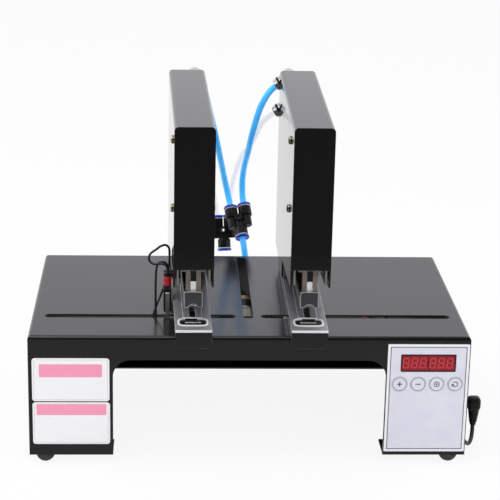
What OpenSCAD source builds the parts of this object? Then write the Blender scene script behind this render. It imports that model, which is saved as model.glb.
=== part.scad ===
// Twin-head pneumatic stapler: two stapling heads clamped on a folded sheet-metal table.
// Millimetres, +Z up, the front towards -Y, the origin on the floor under the middle of the machine.
// Pieces are drawn from the table's front face (Y = 0) and the leg bottoms (Z = 0), then placed.

/* [Table] */
// Width of the table
table_w = 370; // [350:1:420]
// Depth of the table
table_d = 216; // [212:1:240]
// Height of the sheet-metal shell, without the feet
table_h = 107; // [104:1:125]
// Thickness of the sheet
sheet_t = 1.5; // [1.2:0.1:2]
// Outer radius of the folds
bend_r = 3; // [2.5:0.1:5]
// Width of each front leg
leg_w = 70.5; // [69:0.5:75]
// Height of the front apron over the arch
apron_h = 21; // [16:0.5:26]
// Radius of the arch's corners
arch_r = 15; // [8:0.5:25]
// Depth of the flange under each front leg
leg_flange = 29; // [24:0.5:35]
// Depth of the rear panel's bottom flange
rear_flange = 21; // [18:0.5:26]
// Width of the slots
slot_w = 8.5; // [7.5:0.1:10]
// Cross slots, from the front face to their middle
slot_y = 49.5; // [46:0.5:55]
// Cross slots, from the table's middle to their inner ends
slot_in = 11; // [9:0.5:14]
// Cross slots, from the table's middle to their outer ends
slot_out = 174; // [160:0.5:174]
// Middle slot, from the front face to its front end
mid_slot_y = 44.5; // [38:0.5:60]
// Sheet left between the middle slot and the rear edge
mid_slot_web = 4; // [3:0.5:8]
// Diameter of the rubber feet
foot_d = 16; // [14:0.5:20]
// Height of the rubber feet
foot_h = 8; // [6:0.5:12]

/* [Heads] */
// Left head, from the table's middle to its clamp
left_head_x = 49.5; // [44:0.5:60]
// Right head, from the table's middle to its clamp
right_head_x = 47.5; // [44:0.5:60]
// Turn of the left head about its clamp, in degrees
left_turn = 1.2; // [-1.5:0.1:1.5]
// Turn of the right head about its clamp, in degrees
right_turn = -0.5; // [-1.5:0.1:1.5]
// Width of a head
head_w = 33; // [32.5:0.1:36]
// Height of a head over the table top
head_h = 182; // [180:1:200]
// Depth of a head's cover behind its front plate
cover_d = 219; // [212:1:225]
// Wall of the cover
cover_t = 1.5; // [1.2:0.1:1.6]
// Radius of the cover's top folds
cover_r = 3.5; // [2.5:0.1:5]
// Front plate, ahead of the table's front face
plate_over = 14; // [13:0.5:16]
// Thickness of the front plate and its flanges
plate_t = 1; // [0.8:0.1:1.1]
// Front plate's lower edge, over the table top
plate_z = 63; // [58:0.5:70]
// Lower edge of the cover's sides at the front
mouth_front_z = 48; // [46:0.5:52]
// Lower edge of the cover's sides at the back of the throat
mouth_back_z = 34; // [32:0.5:40]
// Back of the throat, behind the table's front face
mouth_y = 104; // [98:0.5:108]
// Lower edge of the cover behind the throat
skirt_z = 18; // [17:0.5:22]

/* [Stapler] */
// Width of the arm
arm_w = 30; // [29:0.5:33]
// Height of the arm under its anvil plate
arm_h = 14; // [13:0.5:16]
// Arm's front end, ahead of the table's front face
arm_over = 27.5; // [25:0.5:32]
// Arm's rear end, behind the table's front face
arm_rear = 178; // [172:1:185]
// Thickness of the anvil plate
anvil_t = 1.8; // [1.5:0.1:2.5]
// Opening between nose and anvil plate at rest
throat_gap = 13.5; // [10:0.5:15]
// Length of the staple's legs that the driver pushes out
staple_leg = 6.5; // [5:0.5:8]
// Width of the magazine and its nose
mag_w = 15; // [14.5:0.1:16]
// Height of the magazine channel
mag_h = 8; // [7:0.5:9]
// Wall of the magazine channel
mag_t = 1; // [0.8:0.1:1.2]
// Height of the nose plate
nose_h = 13.3; // [12:0.1:15]
// Magazine's pivot, behind the table's front face
pivot_y = 140; // [130:1:150]
// Diameter of the pivot pin
pivot_d = 5; // [4:0.5:6]
// Diameter of the cylinder's bore
bore_d = 20; // [16:0.5:20]
// Diameter of the piston rod
rod_d = 8; // [6:0.5:10]

/* [Air] */
// Outer diameter of the air hoses
hose_d = 6; // [5:0.5:6]
// Diameter of a push-in port's body
port_d = 12.4; // [11.5:0.1:13]
// Diameter of a release collar
collar_d = 13.4; // [12.5:0.1:13.6]
// Bore of the main air inlet
inlet_d = 8; // [6:0.5:10]

/* [Control panel] */
// Control panel's margin at the leg's edges
panel_gap = 0.8; // [0.5:0.1:2]
// Thickness of the control panel
panel_t = 0.8; // [0.6:0.1:1.2]
// Height of the control panel
panel_h = 97.5; // [95:0.5:99]
// Width of one display module
digit_w = 22.4; // [21:0.1:23]
// Height of a display module
digit_h = 14; // [12:0.1:15]
// Diameter of the keys
key_d = 12.8; // [11:0.1:13]
// Spacing of the keys
key_pitch = 15.7; // [15.6:0.1:16]

/* [Hidden] */
$fn = 48;
cut = 1;
fit = 0.1;
gap = 0.2;

// Table
under_z = table_h - sheet_t;
rim_x = table_w / 2 - sheet_t;
foot_rim = 2;
foot_flat = 0.6;
foot_x = table_w / 2 - 13;
foot_y = [foot_d / 2 + 0.2, table_d - 11];
foot_hole = 4.2;
rear_tab = 12;
rear_tab_z = 3;
rear_screw_d = 4;
rear_screw_z = [18, table_h - 18];
rear_screw_x = rim_x - rear_tab / 2;

// Control panel, its display and keys, on the right leg
panel_x = [table_w / 2 - leg_w + panel_gap, table_w / 2 - panel_gap];
panel_mid = (panel_x[0] + panel_x[1]) / 2;
panel_z = [table_h - 6 - panel_h, table_h - 6];
panel_corner = 0.6;
digits_z = panel_z[1] - 16.7;
digits_gap = 0.2;
keys_z = panel_z[1] - 35.6;
key_x = [for (i = [0 : 3]) panel_mid + (i - 1.5) * key_pitch];
key_proud = 0.4;
key_travel = 0.6;
key_lip = [key_d + 2.2, 1.2];
window_gap = 0.3;
board_y = 8;
board_t = 1.6;
board_margin = 3;
jack_y = 20;
jack_z = 40;
jack_hole = 6.2;
jack_size = 13;

// Heads, measured over the table top
cover_y = [-plate_over + plate_t, -plate_over + plate_t + cover_d];
inner_x = head_w / 2 - cover_t;
frame_t = 1.6;
frame_x = [inner_x - fit - plate_t - fit - frame_t, inner_x - fit - plate_t - fit];
frame_y = [cover_y[0] + 2, cover_y[1] - 10];
frame_top = head_h - 6;
web_t = 1.6;
web_y = [mouth_y + 6, arm_rear - 2];
flange_rear = 38;
flange_z = [plate_z + 29, head_h - 10];
screw_y = 26;
screw_z = [head_h - 78, head_h - 20];
screw_d = 4;
screw_head = [7, 2.2];
cyl_y = [cover_y[0] + 2.5, 34];
cyl_z = [head_h - 84, head_h - 3];
bore_z = [head_h - 46, head_h - 5];
passage_d = 3;
socket = 6;
elbow_x = -7.5;
elbow_z = [head_h - 7, head_h - 33];
elbow_y = cover_y[1] + 9;
elbow_reach = 14;
lead_in = 3;
stud_d = 9.6;
outlet_d = port_d - 0.6;

// Stapler, measured over the table top
anvil_z = arm_h + anvil_t;
track_h = 0.6;
track_w = 16;
closed_gap = 1;
mag_z = anvil_z + closed_gap;
nose_drop = throat_gap - closed_gap;
blade_t = 0.8;
blade_y = -6.6;
blade_w = 12;
stroke = nose_drop + staple_leg;
pivot_z = mag_z + 7.2;
open_angle = asin(nose_drop / (pivot_y - blade_y));
nose_y = [-10.4, -9.2];
mag_y = [-5.4, pivot_y + 7];
mag_x = mag_w / 2;
ear_h = 14;
ear_d = 15;
relief = [3.2, 4.5];
ram_y = 0;
leg_x = [2.3, mag_x - mag_t - 0.3];
leg_y = [blade_y - blade_t / 2 - 0.8, -3];
leg_z = anvil_z + throat_gap + nose_h - 0.6;
bar_z = [leg_z + 17.5, leg_z + 24];
bar_x = 9.7;
piston_h = 10;
piston_z = bore_z[1] - piston_h - 2;
blade_tip = anvil_z + throat_gap + staple_leg + 0.7;
pusher_y = [20, 32];
anvil_d = 14;
anvil_w = 21.4;
bolt_d = 6;
bolt_x = 9;
bolt_up = 8;
strip = [34, 14, 3];
bolt_head = [11, 4];

// Paper switch on the left head's outer side, measured over the table top
bracket_t = 1.5;
bracket_x = [arm_w / 2 + gap, arm_w / 2 + gap + bracket_t];
switch_size = [6.4, 10.2, 20];
switch_at = [bracket_x[1], 50, 4];
lever_w = 3.6;
lever_t = 0.6;
lever_len = 20;
lever_lean = 8;
lever_pin = 1.4;
lever_gap = 1.8;
lever_at = [switch_at.x + switch_size.x / 2, switch_at.y - lever_gap, switch_at.z + 16.8];
crimp_d = 6.2;
crimp_z = [26, 38.5];
crimp_y = [switch_at.y + 2.2, switch_at.y + 8.8];
wire_d = 2;

// Valve under the table
valve = [[-24, 82, table_h - 37], [18, 112, table_h - 15]];
valve_mid = [-2, 97, table_h - 26];
stud_x = [-14, 8];
coil_x = 0;
coil_d = 22;
coil_ring = [113, 117];
coil_y = [117, 147];
coil_nut = [147, 158];
valve_port = 14;

// Fittings behind the table
rear_elbow = [6, table_d, table_h - 49];
rear_elbow_y = table_d + 11;
inlet = [60, table_d, table_h - 49];
inner_stud = 14;
supply_at = [-0.4, table_d + 34, table_h + 26.2];
return_at = [-14.6, table_d + 58, table_h + 8];
supply_lean = [42, 8];
return_lean = [18, 3];
y_turn = -10;
port_x = 6.6;
port_up = 12.5;
port_down = 18;
port_skirt = 8;
collar_h = 2.2;
eye_d = 3.4;

// Power lead: diameter, coil and adaptor on the floor behind the table
lead_d = 3.5;
floor_z = -foot_h + lead_d / 2 + 0.05;
plug_x = table_w / 2 + 9.5;
plug_d = 11;
plug_z = [26, jack_z + 5.5];
relief_z = 19.5;
coil_mid = [110, table_d + 62.5];
coil_r = 26.5;
coil_pitch = 4.5;
coil_layer = 4.2;
coil_turns = 2.75;
coil_start = [coil_mid.x + lead_d, coil_mid.y - coil_r, floor_z];
coil_end = [coil_mid.x - coil_r + 8, coil_mid.y - coil_r, floor_z + coil_layer];
adapter = [62, 40, 30];
adapter_relief = 20;

// Places on the heads and fittings
function turn_of(side) = side < 0 ? left_turn : right_turn;
function clamp_x(side) = side < 0 ? -left_head_x : right_head_x;
function elbow_turn(side) = side < 0 ? [60, 80] : [38, 34];
function head_point(side, p) =
    let (a = turn_of(side), x = side * p.x, y = p.y - slot_y)
    [clamp_x(side) + x * cos(a) - y * sin(a), slot_y + x * sin(a) + y * cos(a), table_h + p.z];
function elbow_port(side, i) =
    let (a = elbow_turn(side)[i])
    [for (r = [elbow_reach, elbow_reach + lead_in])
        head_point(side, [elbow_x - r * cos(a), elbow_y, elbow_z[i] - r * sin(a)])];
function y_point(at, lean, x, z) =
    let (a = x * cos(y_turn), b = x * sin(y_turn), up = a * sin(lean[1]) + z * cos(lean[1]))
    at + [a * cos(lean[1]) - z * sin(lean[1]), b * cos(lean[0]) + up * sin(lean[0]),
        up * cos(lean[0]) - b * sin(lean[0])];
function upper_port(at, lean, side) =
    [for (r = [0, lead_in]) y_point(at, lean, side * port_x, port_up + collar_h + r)];
function lower_port(at, lean) = [for (r = [0, lead_in]) y_point(at, lean, 0, -port_down - collar_h - r)];
function port(p, way) = [p, p + lead_in * way];
function crimp_port(y) = port(head_point(-1, [switch_at.x + switch_size.x / 2, y, crimp_z[1]]), [0, 0, 1]);
function board_port(x, z) = port([x, board_y + board_t, z], [0, 1, 0]);

// Hose and wire routes, chosen by hand: straight out of each port, then some points from each end
function route(a, after, before, b) =
    concat(a, [for (p = after) a[0] + p], [for (p = before) b[0] + p], [b[1], b[0]]);
supply_left_path = route(elbow_port(-1, 0),
    [[7.3, 1.8, -22.9], [13.3, 7.4, -47.9]],
    [[-10.6, -17, 51], [-5.4, 5.6, 24]],
    upper_port(supply_at, supply_lean, -1));
supply_right_path = route(elbow_port(1, 0),
    [[-13.6, -1.6, -17.8], [-21, -0.6, -42.4]],
    [[2.2, -29.5, 63], [-1.4, 3.2, 27]],
    upper_port(supply_at, supply_lean, 1));
return_left_path = route(elbow_port(-1, 1),
    [[1.4, 5, -24]],
    [[-16, -28, 64], [-4.5, 2, 27]],
    upper_port(return_at, return_lean, -1));
return_right_path = route(elbow_port(1, 1),
    [[-12, 3.6, -11.2], [-19.6, 17, -32]],
    [[9, -8, 58.4], [1.6, 5, 26]],
    upper_port(return_at, return_lean, 1));
trunk_path = route(lower_port(supply_at, supply_lean),
    [[2.5, -9.7, -17.3]],
    [],
    port([rear_elbow.x, rear_elbow_y, rear_elbow.z + elbow_reach], [0, 0, 1]));
outlet_path = route(port([valve[0].x - valve_port, valve_mid.y, valve_mid.z], [-1, 0, 0]),
    [[-21, 8.5, 1], [-28, 29, 2.5], [-13, 53, 0]],
    [[-31, -38, 16], [-8, -21, 5]],
    port([rear_elbow.x, table_d - inner_stud, rear_elbow.z], [0, -1, 0]));
inlet_path = route(port([inlet.x, table_d - inner_stud, inlet.z], [0, -1, 0]),
    [[1, -24, 1.5], [3.5, -52, 8.5]],
    [[30.5, 26, -4.5], [21, 7.5, -0.7]],
    port([valve[1].x + valve_port, valve_mid.y, valve_mid.z], [1, 0, 0]));
red_wire_path = route(port([coil_x + coil_d / 2, coil_y[0] + 13, valve_mid.z], [1, 0, 0]),
    [[33, -10, 7], [68, -30, 13], [97, -48, 13.5]],
    [[-14.8, 48.4, 21.1], [-1.8, 18.4, 6.6]],
    board_port(panel_mid - 8, keys_z + 5));
blue_wire_path = route(port([coil_x + coil_d / 2, coil_y[0] + 19, valve_mid.z], [1, 0, 0]),
    [[38, -11, 5], [74, -28, 13], [104, -46, 13.8]],
    [[-17.8, 54.4, 21.6], [-1.2, 22.4, 6.6]],
    board_port(panel_mid + 2, keys_z + 5));
switch_wire_front = route(crimp_port(crimp_y[0]),
    [[-1.3, 0.4, 6.2], [-4.5, 1.2, 7.5], [-8.5, 2.4, 6.8], [-12, 3.8, 6.6], [-14.9, 5.4, 8],
     [-16, 6.9, 11.2], [-14.4, 8.4, 14.4], [-9.6, 10.2, 17.6], [-5.8, 11.6, 20], [-2, 13, 20.6],
     [0.8, 14.2, 18.2], [1.6, 15, 13.6], [1.2, 15.4, 2], [-1.4, 14, -12], [-6.4, 9.4, -25],
     [-11, 3, -35], [-12.4, 0, -42], [-9.8, 2.6, -48.4], [-2.6, 7, -50.5], [14.4, 16, -50.5]],
    [[-144, 62.4, 21], [-94, 62.4, 21], [-34, 52.4, 19], [-2, 22, 6]],
    board_port(panel_mid - 26, keys_z + 11));
switch_wire_rear = route(crimp_port(crimp_y[1]),
    [[-1.3, 0.1, 6.2], [-4.5, 0.2, 7.5], [-7.7, 0.1, 6.2], [-9.2, -0.3, 2.5], [-9.8, -1, -4],
     [-10, -3, -16], [-9.8, -6.4, -31], [-9.2, -8.4, -42], [-6.4, -7, -49], [0.4, -3.4, -52.4],
     [17.6, 6, -52.5]],
    [[-138, 58.4, 23.5], [-88, 58.4, 23.5], [-28, 48.4, 22], [-1, 18, 6]],
    board_port(panel_mid - 32, keys_z + 5));
lead_path = concat(port([plug_x, jack_y, relief_z], [0, 0, -1]),
    [for (p = [[-0.2, 2.8, -15.3], [-1, 10.4, -22.9], [-2.4, 24, -25.7]]) [plug_x, jack_y, relief_z] + p],
    [[plug_x - 4, jack_y + 40, floor_z], [plug_x - 4, 120, floor_z], [plug_x - 4.5, table_d - 26, floor_z],
     [plug_x - 10, table_d + 12, floor_z], [plug_x - 34, table_d + 33, floor_z],
     [coil_start.x + 26, coil_start.y, floor_z], coil_start]);

// The machine's box, without the power lead, is centred on the origin
function arm_front(turn) = slot_y - arm_w / 2 * abs(sin(turn)) - (slot_y + arm_over) * cos(turn);
front_reach = min(arm_front(left_turn), arm_front(right_turn));
rear_reach = max([for (path = [return_left_path, return_right_path], p = smooth(path, 4)) p.y]) + hose_d / 2;
front_y = -(front_reach + rear_reach) / 2;

// Sweeps: a smooth line through the route, straight at both ends, and one closed tube along it
function pace(p, i) =
    let (last = len(p) - 1)
    i == 1 ? unit(p[1] - p[0])
    : i == last - 1 ? unit(p[last] - p[last - 1])
    : (p[i + 1] - p[i - 1]) / (norm(p[i + 1] - p[i]) + norm(p[i] - p[i - 1]));
function curve(a, b, pace_a, pace_b, u) =
    let (long = norm(b - a))
    a * (2 * u * u * u - 3 * u * u + 1) + b * (3 * u * u - 2 * u * u * u)
    + long * (pace_a * (u * u * u - 2 * u * u + u) + pace_b * (u * u * u - u * u));
function smooth(p, n) =
    let (last = len(p) - 1)
    concat([p[0]],
        [for (i = [1 : last - 2]) for (j = [0 : n - 1])
            curve(p[i], p[i + 1], pace(p, i), pace(p, i + 1), j / n)],
        [p[last - 1], p[last]]);
function unit(v) = v / norm(v);
function headings(p) = [for (i = [0 : len(p) - 1]) unit(p[min(i + 1, len(p) - 1)] - p[max(i - 1, 0)])];
function carry(t, i, side) =
    i >= len(t) ? [] : let (n = unit(side - (side * t[i]) * t[i])) concat([n], carry(t, i + 1, n));
function first_side(t) = abs(t[0].z) > 0.8 ? [0, 1, 0] : [0, 0, 1];
module tube(path, d, sides) {
    t = headings(path);
    n = carry(t, 0, first_side(t));
    last = (len(path) - 1) * sides;
    rings = [for (i = [0 : len(path) - 1]) for (k = [0 : sides - 1])
        path[i] + d / 2 * (cos(360 * k / sides) * n[i] + sin(360 * k / sides) * cross(t[i], n[i]))];
    walls = [for (i = [0 : len(path) - 2]) for (k = [0 : sides - 1])
        let (a = i * sides + k, b = i * sides + (k + 1) % sides)
        each [[a, a + sides, b + sides], [a, b + sides, b]]];
    caps = [for (k = [1 : sides - 2]) each [[0, k, k + 1], [last, last + k + 1, last + k]]];
    polyhedron(rings, concat(walls, caps));
}

// Coil of spare lead: in on the lower layer, half a turn of climb, out on the upper layer
loop_rings = 24;
coil_total = 2 * coil_turns + 0.5;
function coil_radius(t) =
    t < coil_turns ? coil_r - t * coil_pitch
    : t < coil_turns + 0.5 ? coil_r - coil_turns * coil_pitch
    : coil_r - (coil_total - t) * coil_pitch;
function coil_climb(t) = min(max((t - coil_turns) / 0.5, 0), 1);
function coil_point(t) = let (a = -90 - 360 * t, r = coil_radius(t))
    [coil_mid.x + r * cos(a), coil_mid.y + r * sin(a), floor_z + coil_layer * coil_climb(t)];
coil_path = concat([coil_start],
    [for (i = [0 : coil_total * loop_rings]) coil_point(i / loop_rings)], [coil_end]);
coil_gap = min([for (i = [0 : len(coil_path) - 1]) for (j = [i + loop_rings / 2 : len(coil_path) - 1])
    norm(coil_path[i] - coil_path[j])]) - lead_d;
echo(least_gap_of_the_lead_coil = coil_gap);

// Shared shapes
module place() {
    translate([0, front_y, foot_h]) children();
}
module head(side) {
    translate([clamp_x(side), slot_y, table_h])
        rotate(turn_of(side))
            translate([0, -slot_y, 0])
                if (side < 0) mirror([1, 0, 0]) children();
                else children();
}
module box(a, b) {
    translate(a) cube(b - a);
}
module along_y(y) {
    translate([0, y[1], 0]) rotate([90, 0, 0]) linear_extrude(y[1] - y[0]) children();
}
module along_x(x) {
    translate([x[0], 0, 0]) rotate([90, 0, 90]) linear_extrude(x[1] - x[0]) children();
}
module rod_y(d, y) {
    translate([0, y[0], 0]) rotate([-90, 0, 0]) cylinder(d = d, h = y[1] - y[0]);
}
module rod_x(d, x) {
    translate([x[0], 0, 0]) rotate([0, 90, 0]) cylinder(d = d, h = x[1] - x[0]);
}
module hex_y(d, y) {
    translate([0, y[0], 0]) rotate([-90, 0, 0]) cylinder(d = d, h = y[1] - y[0], $fn = 6);
}
module arched(w, h, r) {
    translate([-w / 2, 0]) square([w, h - r]);
    translate([r - w / 2, 0]) square([w - 2 * r, h]);
    for (s = [-1, 1]) translate([s * (w / 2 - r), h - r]) circle(r);
}
module round_box(w, h, r) {
    translate([-w / 2, r - h / 2]) square([w, h - 2 * r]);
    translate([r - w / 2, -h / 2]) square([w - 2 * r, h]);
    for (s = [-1, 1]) for (u = [-1, 1]) translate([s * (w / 2 - r), u * (h / 2 - r)]) circle(r);
}
module slot(a, b, w) {
    long = b - a;
    translate((a + b) / 2)
        if (long.x > long.y) {
            square([long.x - w, w], center = true);
            for (s = [-1, 1]) translate([s * (long.x - w) / 2, 0]) circle(d = w);
        } else {
            square([w, long.y - w], center = true);
            for (s = [-1, 1]) translate([0, s * (long.y - w) / 2]) circle(d = w);
        }
}

// Table
module shell_block(inset, low, rear) {
    r = bend_r - inset;
    top = table_h - inset;
    intersection() {
        along_x([-table_w / 2, table_w / 2]) {
            translate([inset + r, low]) square([rear - inset - r, top - low]);
            translate([inset, low]) square([rear - inset, top - r - low]);
            translate([inset + r, top - r]) circle(r);
        }
        translate([0, 0, low]) along_y([0, rear]) arched(table_w - 2 * inset, top - low, r);
    }
}
module table_slots() {
    for (s = [-1, 1]) {
        ends = [s * slot_in, s * slot_out];
        slot([min(ends), slot_y], [max(ends), slot_y], slot_w);
    }
    slot([0, mid_slot_y], [0, table_d - mid_slot_web], slot_w);
}
module front_openings() {
    arched(table_w - 2 * leg_w, table_h - apron_h, min(arch_r, table_h - apron_h));
    translate([panel_mid, digits_z])
        square([2 * digit_w + digits_gap + 2 * window_gap, digit_h + 2 * window_gap], center = true);
    for (x = key_x) translate([x, keys_z]) circle(d = key_d + 2 * gap);
}
module table_shell() {
    color([0.15, 0.15, 0.16]) {
        difference() {
            shell_block(0, 0, table_d);
            shell_block(sheet_t, -cut, table_d + cut);
            along_y([-cut, sheet_t + cut]) front_openings();
            translate([0, 0, under_z - cut]) linear_extrude(sheet_t + 2 * cut) table_slots();
            translate([0, jack_y, jack_z]) rod_x(jack_size - 2, [rim_x - cut, table_w / 2 + cut]);
        }
        for (s = [-1, 1]) {
            difference() {
                box([min(s * rim_x, s * (rim_x + sheet_t - leg_w)), sheet_t, 0],
                    [max(s * rim_x, s * (rim_x + sheet_t - leg_w)), leg_flange, sheet_t]);
                translate([s * foot_x, foot_y[0], -cut]) cylinder(d = foot_hole, h = sheet_t + 2 * cut);
            }
            difference() {
                box([min(s * rim_x, s * (rim_x - rear_tab)), table_d - 2 * sheet_t, rear_tab_z],
                    [max(s * rim_x, s * (rim_x - rear_tab)), table_d - sheet_t, under_z]);
                for (z = rear_screw_z)
                    translate([s * rear_screw_x, 0, z])
                        rod_y(rear_screw_d + 2 * fit, [table_d - 2 * sheet_t - cut, table_d]);
            }
        }
        for (x = stud_x)
            translate([x, valve_mid.y, valve[1].z]) cylinder(d = 6, h = under_z - valve[1].z + sheet_t / 2);
    }
}
module rear_panel() {
    w = rim_x - gap;
    color([0.15, 0.15, 0.16])
        difference() {
            union() {
                box([-w, table_d - sheet_t, 0], [w, table_d, under_z - gap]);
                box([-w, table_d - rear_flange, 0], [w, table_d - sheet_t, sheet_t]);
            }
            for (s = [-1, 1]) {
                for (z = rear_screw_z)
                    translate([s * rear_screw_x, 0, z])
                        rod_y(rear_screw_d + 2 * fit, [table_d - sheet_t - cut, table_d + cut]);
                translate([s * foot_x, foot_y[1], -cut]) cylinder(d = foot_hole, h = sheet_t + 2 * cut);
            }
            for (p = [rear_elbow, inlet])
                translate([p.x, 0, p.z]) rod_y(port_d + 2 * fit, [table_d - sheet_t - cut, table_d + cut]);
        }
}
module rear_panel_screws() {
    color([0.55, 0.55, 0.57])
        for (s = [-1, 1]) for (z = rear_screw_z)
            translate([s * rear_screw_x, 0, z]) {
                rod_y(rear_screw_d, [table_d - 2 * sheet_t - 3, table_d]);
                rod_y(rear_screw_d * 1.8, [table_d, table_d + 2]);
            }
}
module rubber_feet() {
    cap = foot_h + foot_flat - foot_rim;
    r = (foot_d * foot_d / 4 + cap * cap) / (2 * cap);
    color([0.2, 0.2, 0.22])
        for (s = [-1, 1]) for (y = foot_y)
            translate([s * foot_x, y, 0]) {
                translate([0, 0, -foot_rim]) cylinder(d = foot_d, h = foot_rim);
                intersection() {
                    translate([0, 0, r - foot_h - foot_flat]) sphere(r);
                    translate([0, 0, -foot_h]) cylinder(d = foot_d, h = foot_h - foot_rim);
                }
                cylinder(d = foot_hole - 2 * fit, h = sheet_t + 1.5);
            }
}

// Control panel
module control_panel() {
    color([0.86, 0.87, 0.91])
        along_y([-panel_t, 0])
            difference() {
                translate([panel_mid, (panel_z[0] + panel_z[1]) / 2])
                    round_box(panel_x[1] - panel_x[0], panel_h, panel_corner);
                front_openings();
            }
}
module display_modules() {
    color([0.6, 0.08, 0.12])
        for (s = [-1, 1])
            translate([panel_mid + s * (digit_w + digits_gap) / 2, 0, digits_z])
                box([-digit_w / 2, -panel_t + fit, -digit_h / 2], [digit_w / 2, board_y, digit_h / 2]);
}
module key(i) {
    color([0.86, 0.87, 0.91])
        translate([key_x[i], 0, keys_z]) {
            rod_y(key_d, [-panel_t - key_proud, sheet_t + gap]);
            rod_y(key_lip[0], [sheet_t + gap, sheet_t + gap + key_lip[1]]);
        }
}
module control_board() {
    tact = 6.2;
    tact_y = sheet_t + gap + key_lip[1] + key_travel + gap;
    board = [[panel_x[0] + board_margin, panel_z[0] + 15], [panel_x[1] - board_margin, panel_z[1] - 2]];
    jack = [rim_x - jack_size - gap, rim_x - gap];
    color([0.1, 0.35, 0.2]) {
        box([board[0].x, board_y, board[0].y], [board[1].x, board_y + board_t, board[1].y]);
        for (x = key_x) translate([x, 0, keys_z]) {
            box([-tact / 2, tact_y + 1.2, -tact / 2], [tact / 2, board_y, tact / 2]);
            rod_y(3.4, [tact_y, tact_y + 1.2]);
        }
        for (x = [board[0].x + 4, board[1].x - 4]) for (z = [board[0].y + 4, board[1].y - 2.5])
            translate([x, 0, z]) rod_y(4.5, [sheet_t, board_y]);
        box([panel_mid - 12, board_y + board_t, 30], [panel_mid + 4, board_y + board_t + 2.4, 42]);
        difference() {
            box([jack[0], board_y + board_t, jack_z - jack_size / 2],
                [jack[1], jack_y + jack_size / 2, jack_z + jack_size / 2]);
            translate([0, jack_y, jack_z]) rod_x(jack_hole, [jack[0] + 2, table_w / 2]);
        }
    }
}

// Valve and air fittings under and behind the table
module valve_body() {
    color([0.86, 0.84, 0.78])
        difference() {
            box(valve[0], valve[1]);
            for (x = [valve[0].x + 7, valve[1].x - 7])
                translate([x, 0, valve_mid.z - 7]) rod_y(4.3, [valve[0].y - cut, valve[1].y + cut]);
            for (x = [valve[0], valve[1]])
                translate([x.x - stud_d, valve_mid.y, valve_mid.z]) rod_x(stud_d, [0, 2 * stud_d]);
        }
}
module valve_coil() {
    color([0.12, 0.12, 0.13])
        translate([coil_x, 0, valve_mid.z]) {
            rod_y(coil_d + 1.5, [valve[1].y, coil_ring[1]]);
            rod_y(coil_d, coil_y);
            hex_y(13, coil_nut);
        }
}
module valve_wires() {
    color([0.75, 0.12, 0.14]) tube(smooth(red_wire_path, 4), wire_d, 8);
    color([0.15, 0.25, 0.75]) tube(smooth(blue_wire_path, 4), wire_d, 8);
}
module push_in(d, y, bore) {
    difference() {
        rod_y(d, y);
        rod_y(bore, [y[1] - 8, y[1] + cut]);
    }
}
module air_fittings() {
    panel_y = [table_d - inner_stud, table_d + gap];
    color([0.75, 0.72, 0.62]) {
        translate([rear_elbow.x, 0, rear_elbow.z]) {
            rod_y(port_d, panel_y);
            hex_y(port_d + 3, [table_d + gap, table_d + gap + 4]);
            rod_y(port_d, [table_d + gap, rear_elbow_y + port_d / 2]);
        }
        translate([rear_elbow.x, rear_elbow_y, rear_elbow.z])
            difference() {
                cylinder(d = outlet_d, h = elbow_reach);
                translate([0, 0, elbow_reach - 8]) cylinder(d = hose_d + 2 * fit, h = 8 + cut);
            }
        translate([inlet.x, 0, inlet.z])
            difference() {
                union() {
                    rod_y(port_d, panel_y);
                    hex_y(port_d + 6, [table_d + gap, table_d + gap + 5]);
                    rod_y(inlet_d + 7, [table_d + gap + 5, table_d + 22]);
                }
                rod_y(inlet_d, [table_d + 22 - 14, table_d + 22 + cut]);
            }
        for (s = [-1, 1])
            translate([s < 0 ? valve[0].x : valve[1].x, valve_mid.y, valve_mid.z])
                rotate([0, 0, s < 0 ? 90 : -90]) {
                    push_in(port_d, [0, valve_port], hose_d + 2 * fit);
                    rod_y(stud_d - 2 * fit, [-5, 0]);
                }
    }
}
module inner_hoses() {
    color([0.9, 0.91, 0.93]) {
        tube(smooth(outlet_path, 3), hose_d, 8);
        tube(smooth(inlet_path, 3), hose_d, 8);
    }
}
module on_y(at, lean) {
    translate(at) rotate([-lean[0], 0, 0]) rotate([0, -lean[1], 0]) rotate([0, 0, y_turn]) children();
}
module y_fitting() {
    bore = hose_d + 2 * fit;
    difference() {
        union() {
            for (s = [-1, 1]) translate([s * port_x, 0, -port_skirt])
                cylinder(d = port_d, h = port_skirt + port_up);
            translate([0, 0, -port_down]) cylinder(d = port_d, h = port_down - 2);
            rod_y(eye_d + 4, [-port_d / 2 - 0.6, port_d / 2]);
        }
        for (s = [-1, 1]) translate([s * port_x, 0, 1.5]) cylinder(d = bore, h = port_up);
        translate([0, 0, -port_down - cut]) cylinder(d = bore, h = 12 + cut);
        rod_y(eye_d, [-port_d, port_d]);
    }
}
module y_collar() {
    difference() {
        cylinder(d1 = collar_d - 1.4, d2 = collar_d, h = collar_h);
        translate([0, 0, -cut]) cylinder(d = hose_d + 2 * fit, h = collar_h + 2 * cut);
    }
}
module y_collars() {
    for (s = [-1, 1]) translate([s * port_x, 0, port_up]) scale([0.96, 0.96, 1]) y_collar();
    translate([0, 0, -port_down]) mirror([0, 0, 1]) y_collar();
}
module supply_y() {
    color([0.12, 0.12, 0.13]) on_y(supply_at, supply_lean) y_fitting();
}
module return_y() {
    color([0.12, 0.12, 0.13]) on_y(return_at, return_lean) y_fitting();
}
module release_collars() {
    color([0.16, 0.26, 0.85]) {
        on_y(supply_at, supply_lean) y_collars();
        on_y(return_at, return_lean) y_collars();
    }
}
module hose(path, shade) {
    color(shade) tube(smooth(path, 4), hose_d, 10);
}
hose_blue = [0.25, 0.7, 0.97];
hose_clear = [0.85, 0.9, 0.95];

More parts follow.
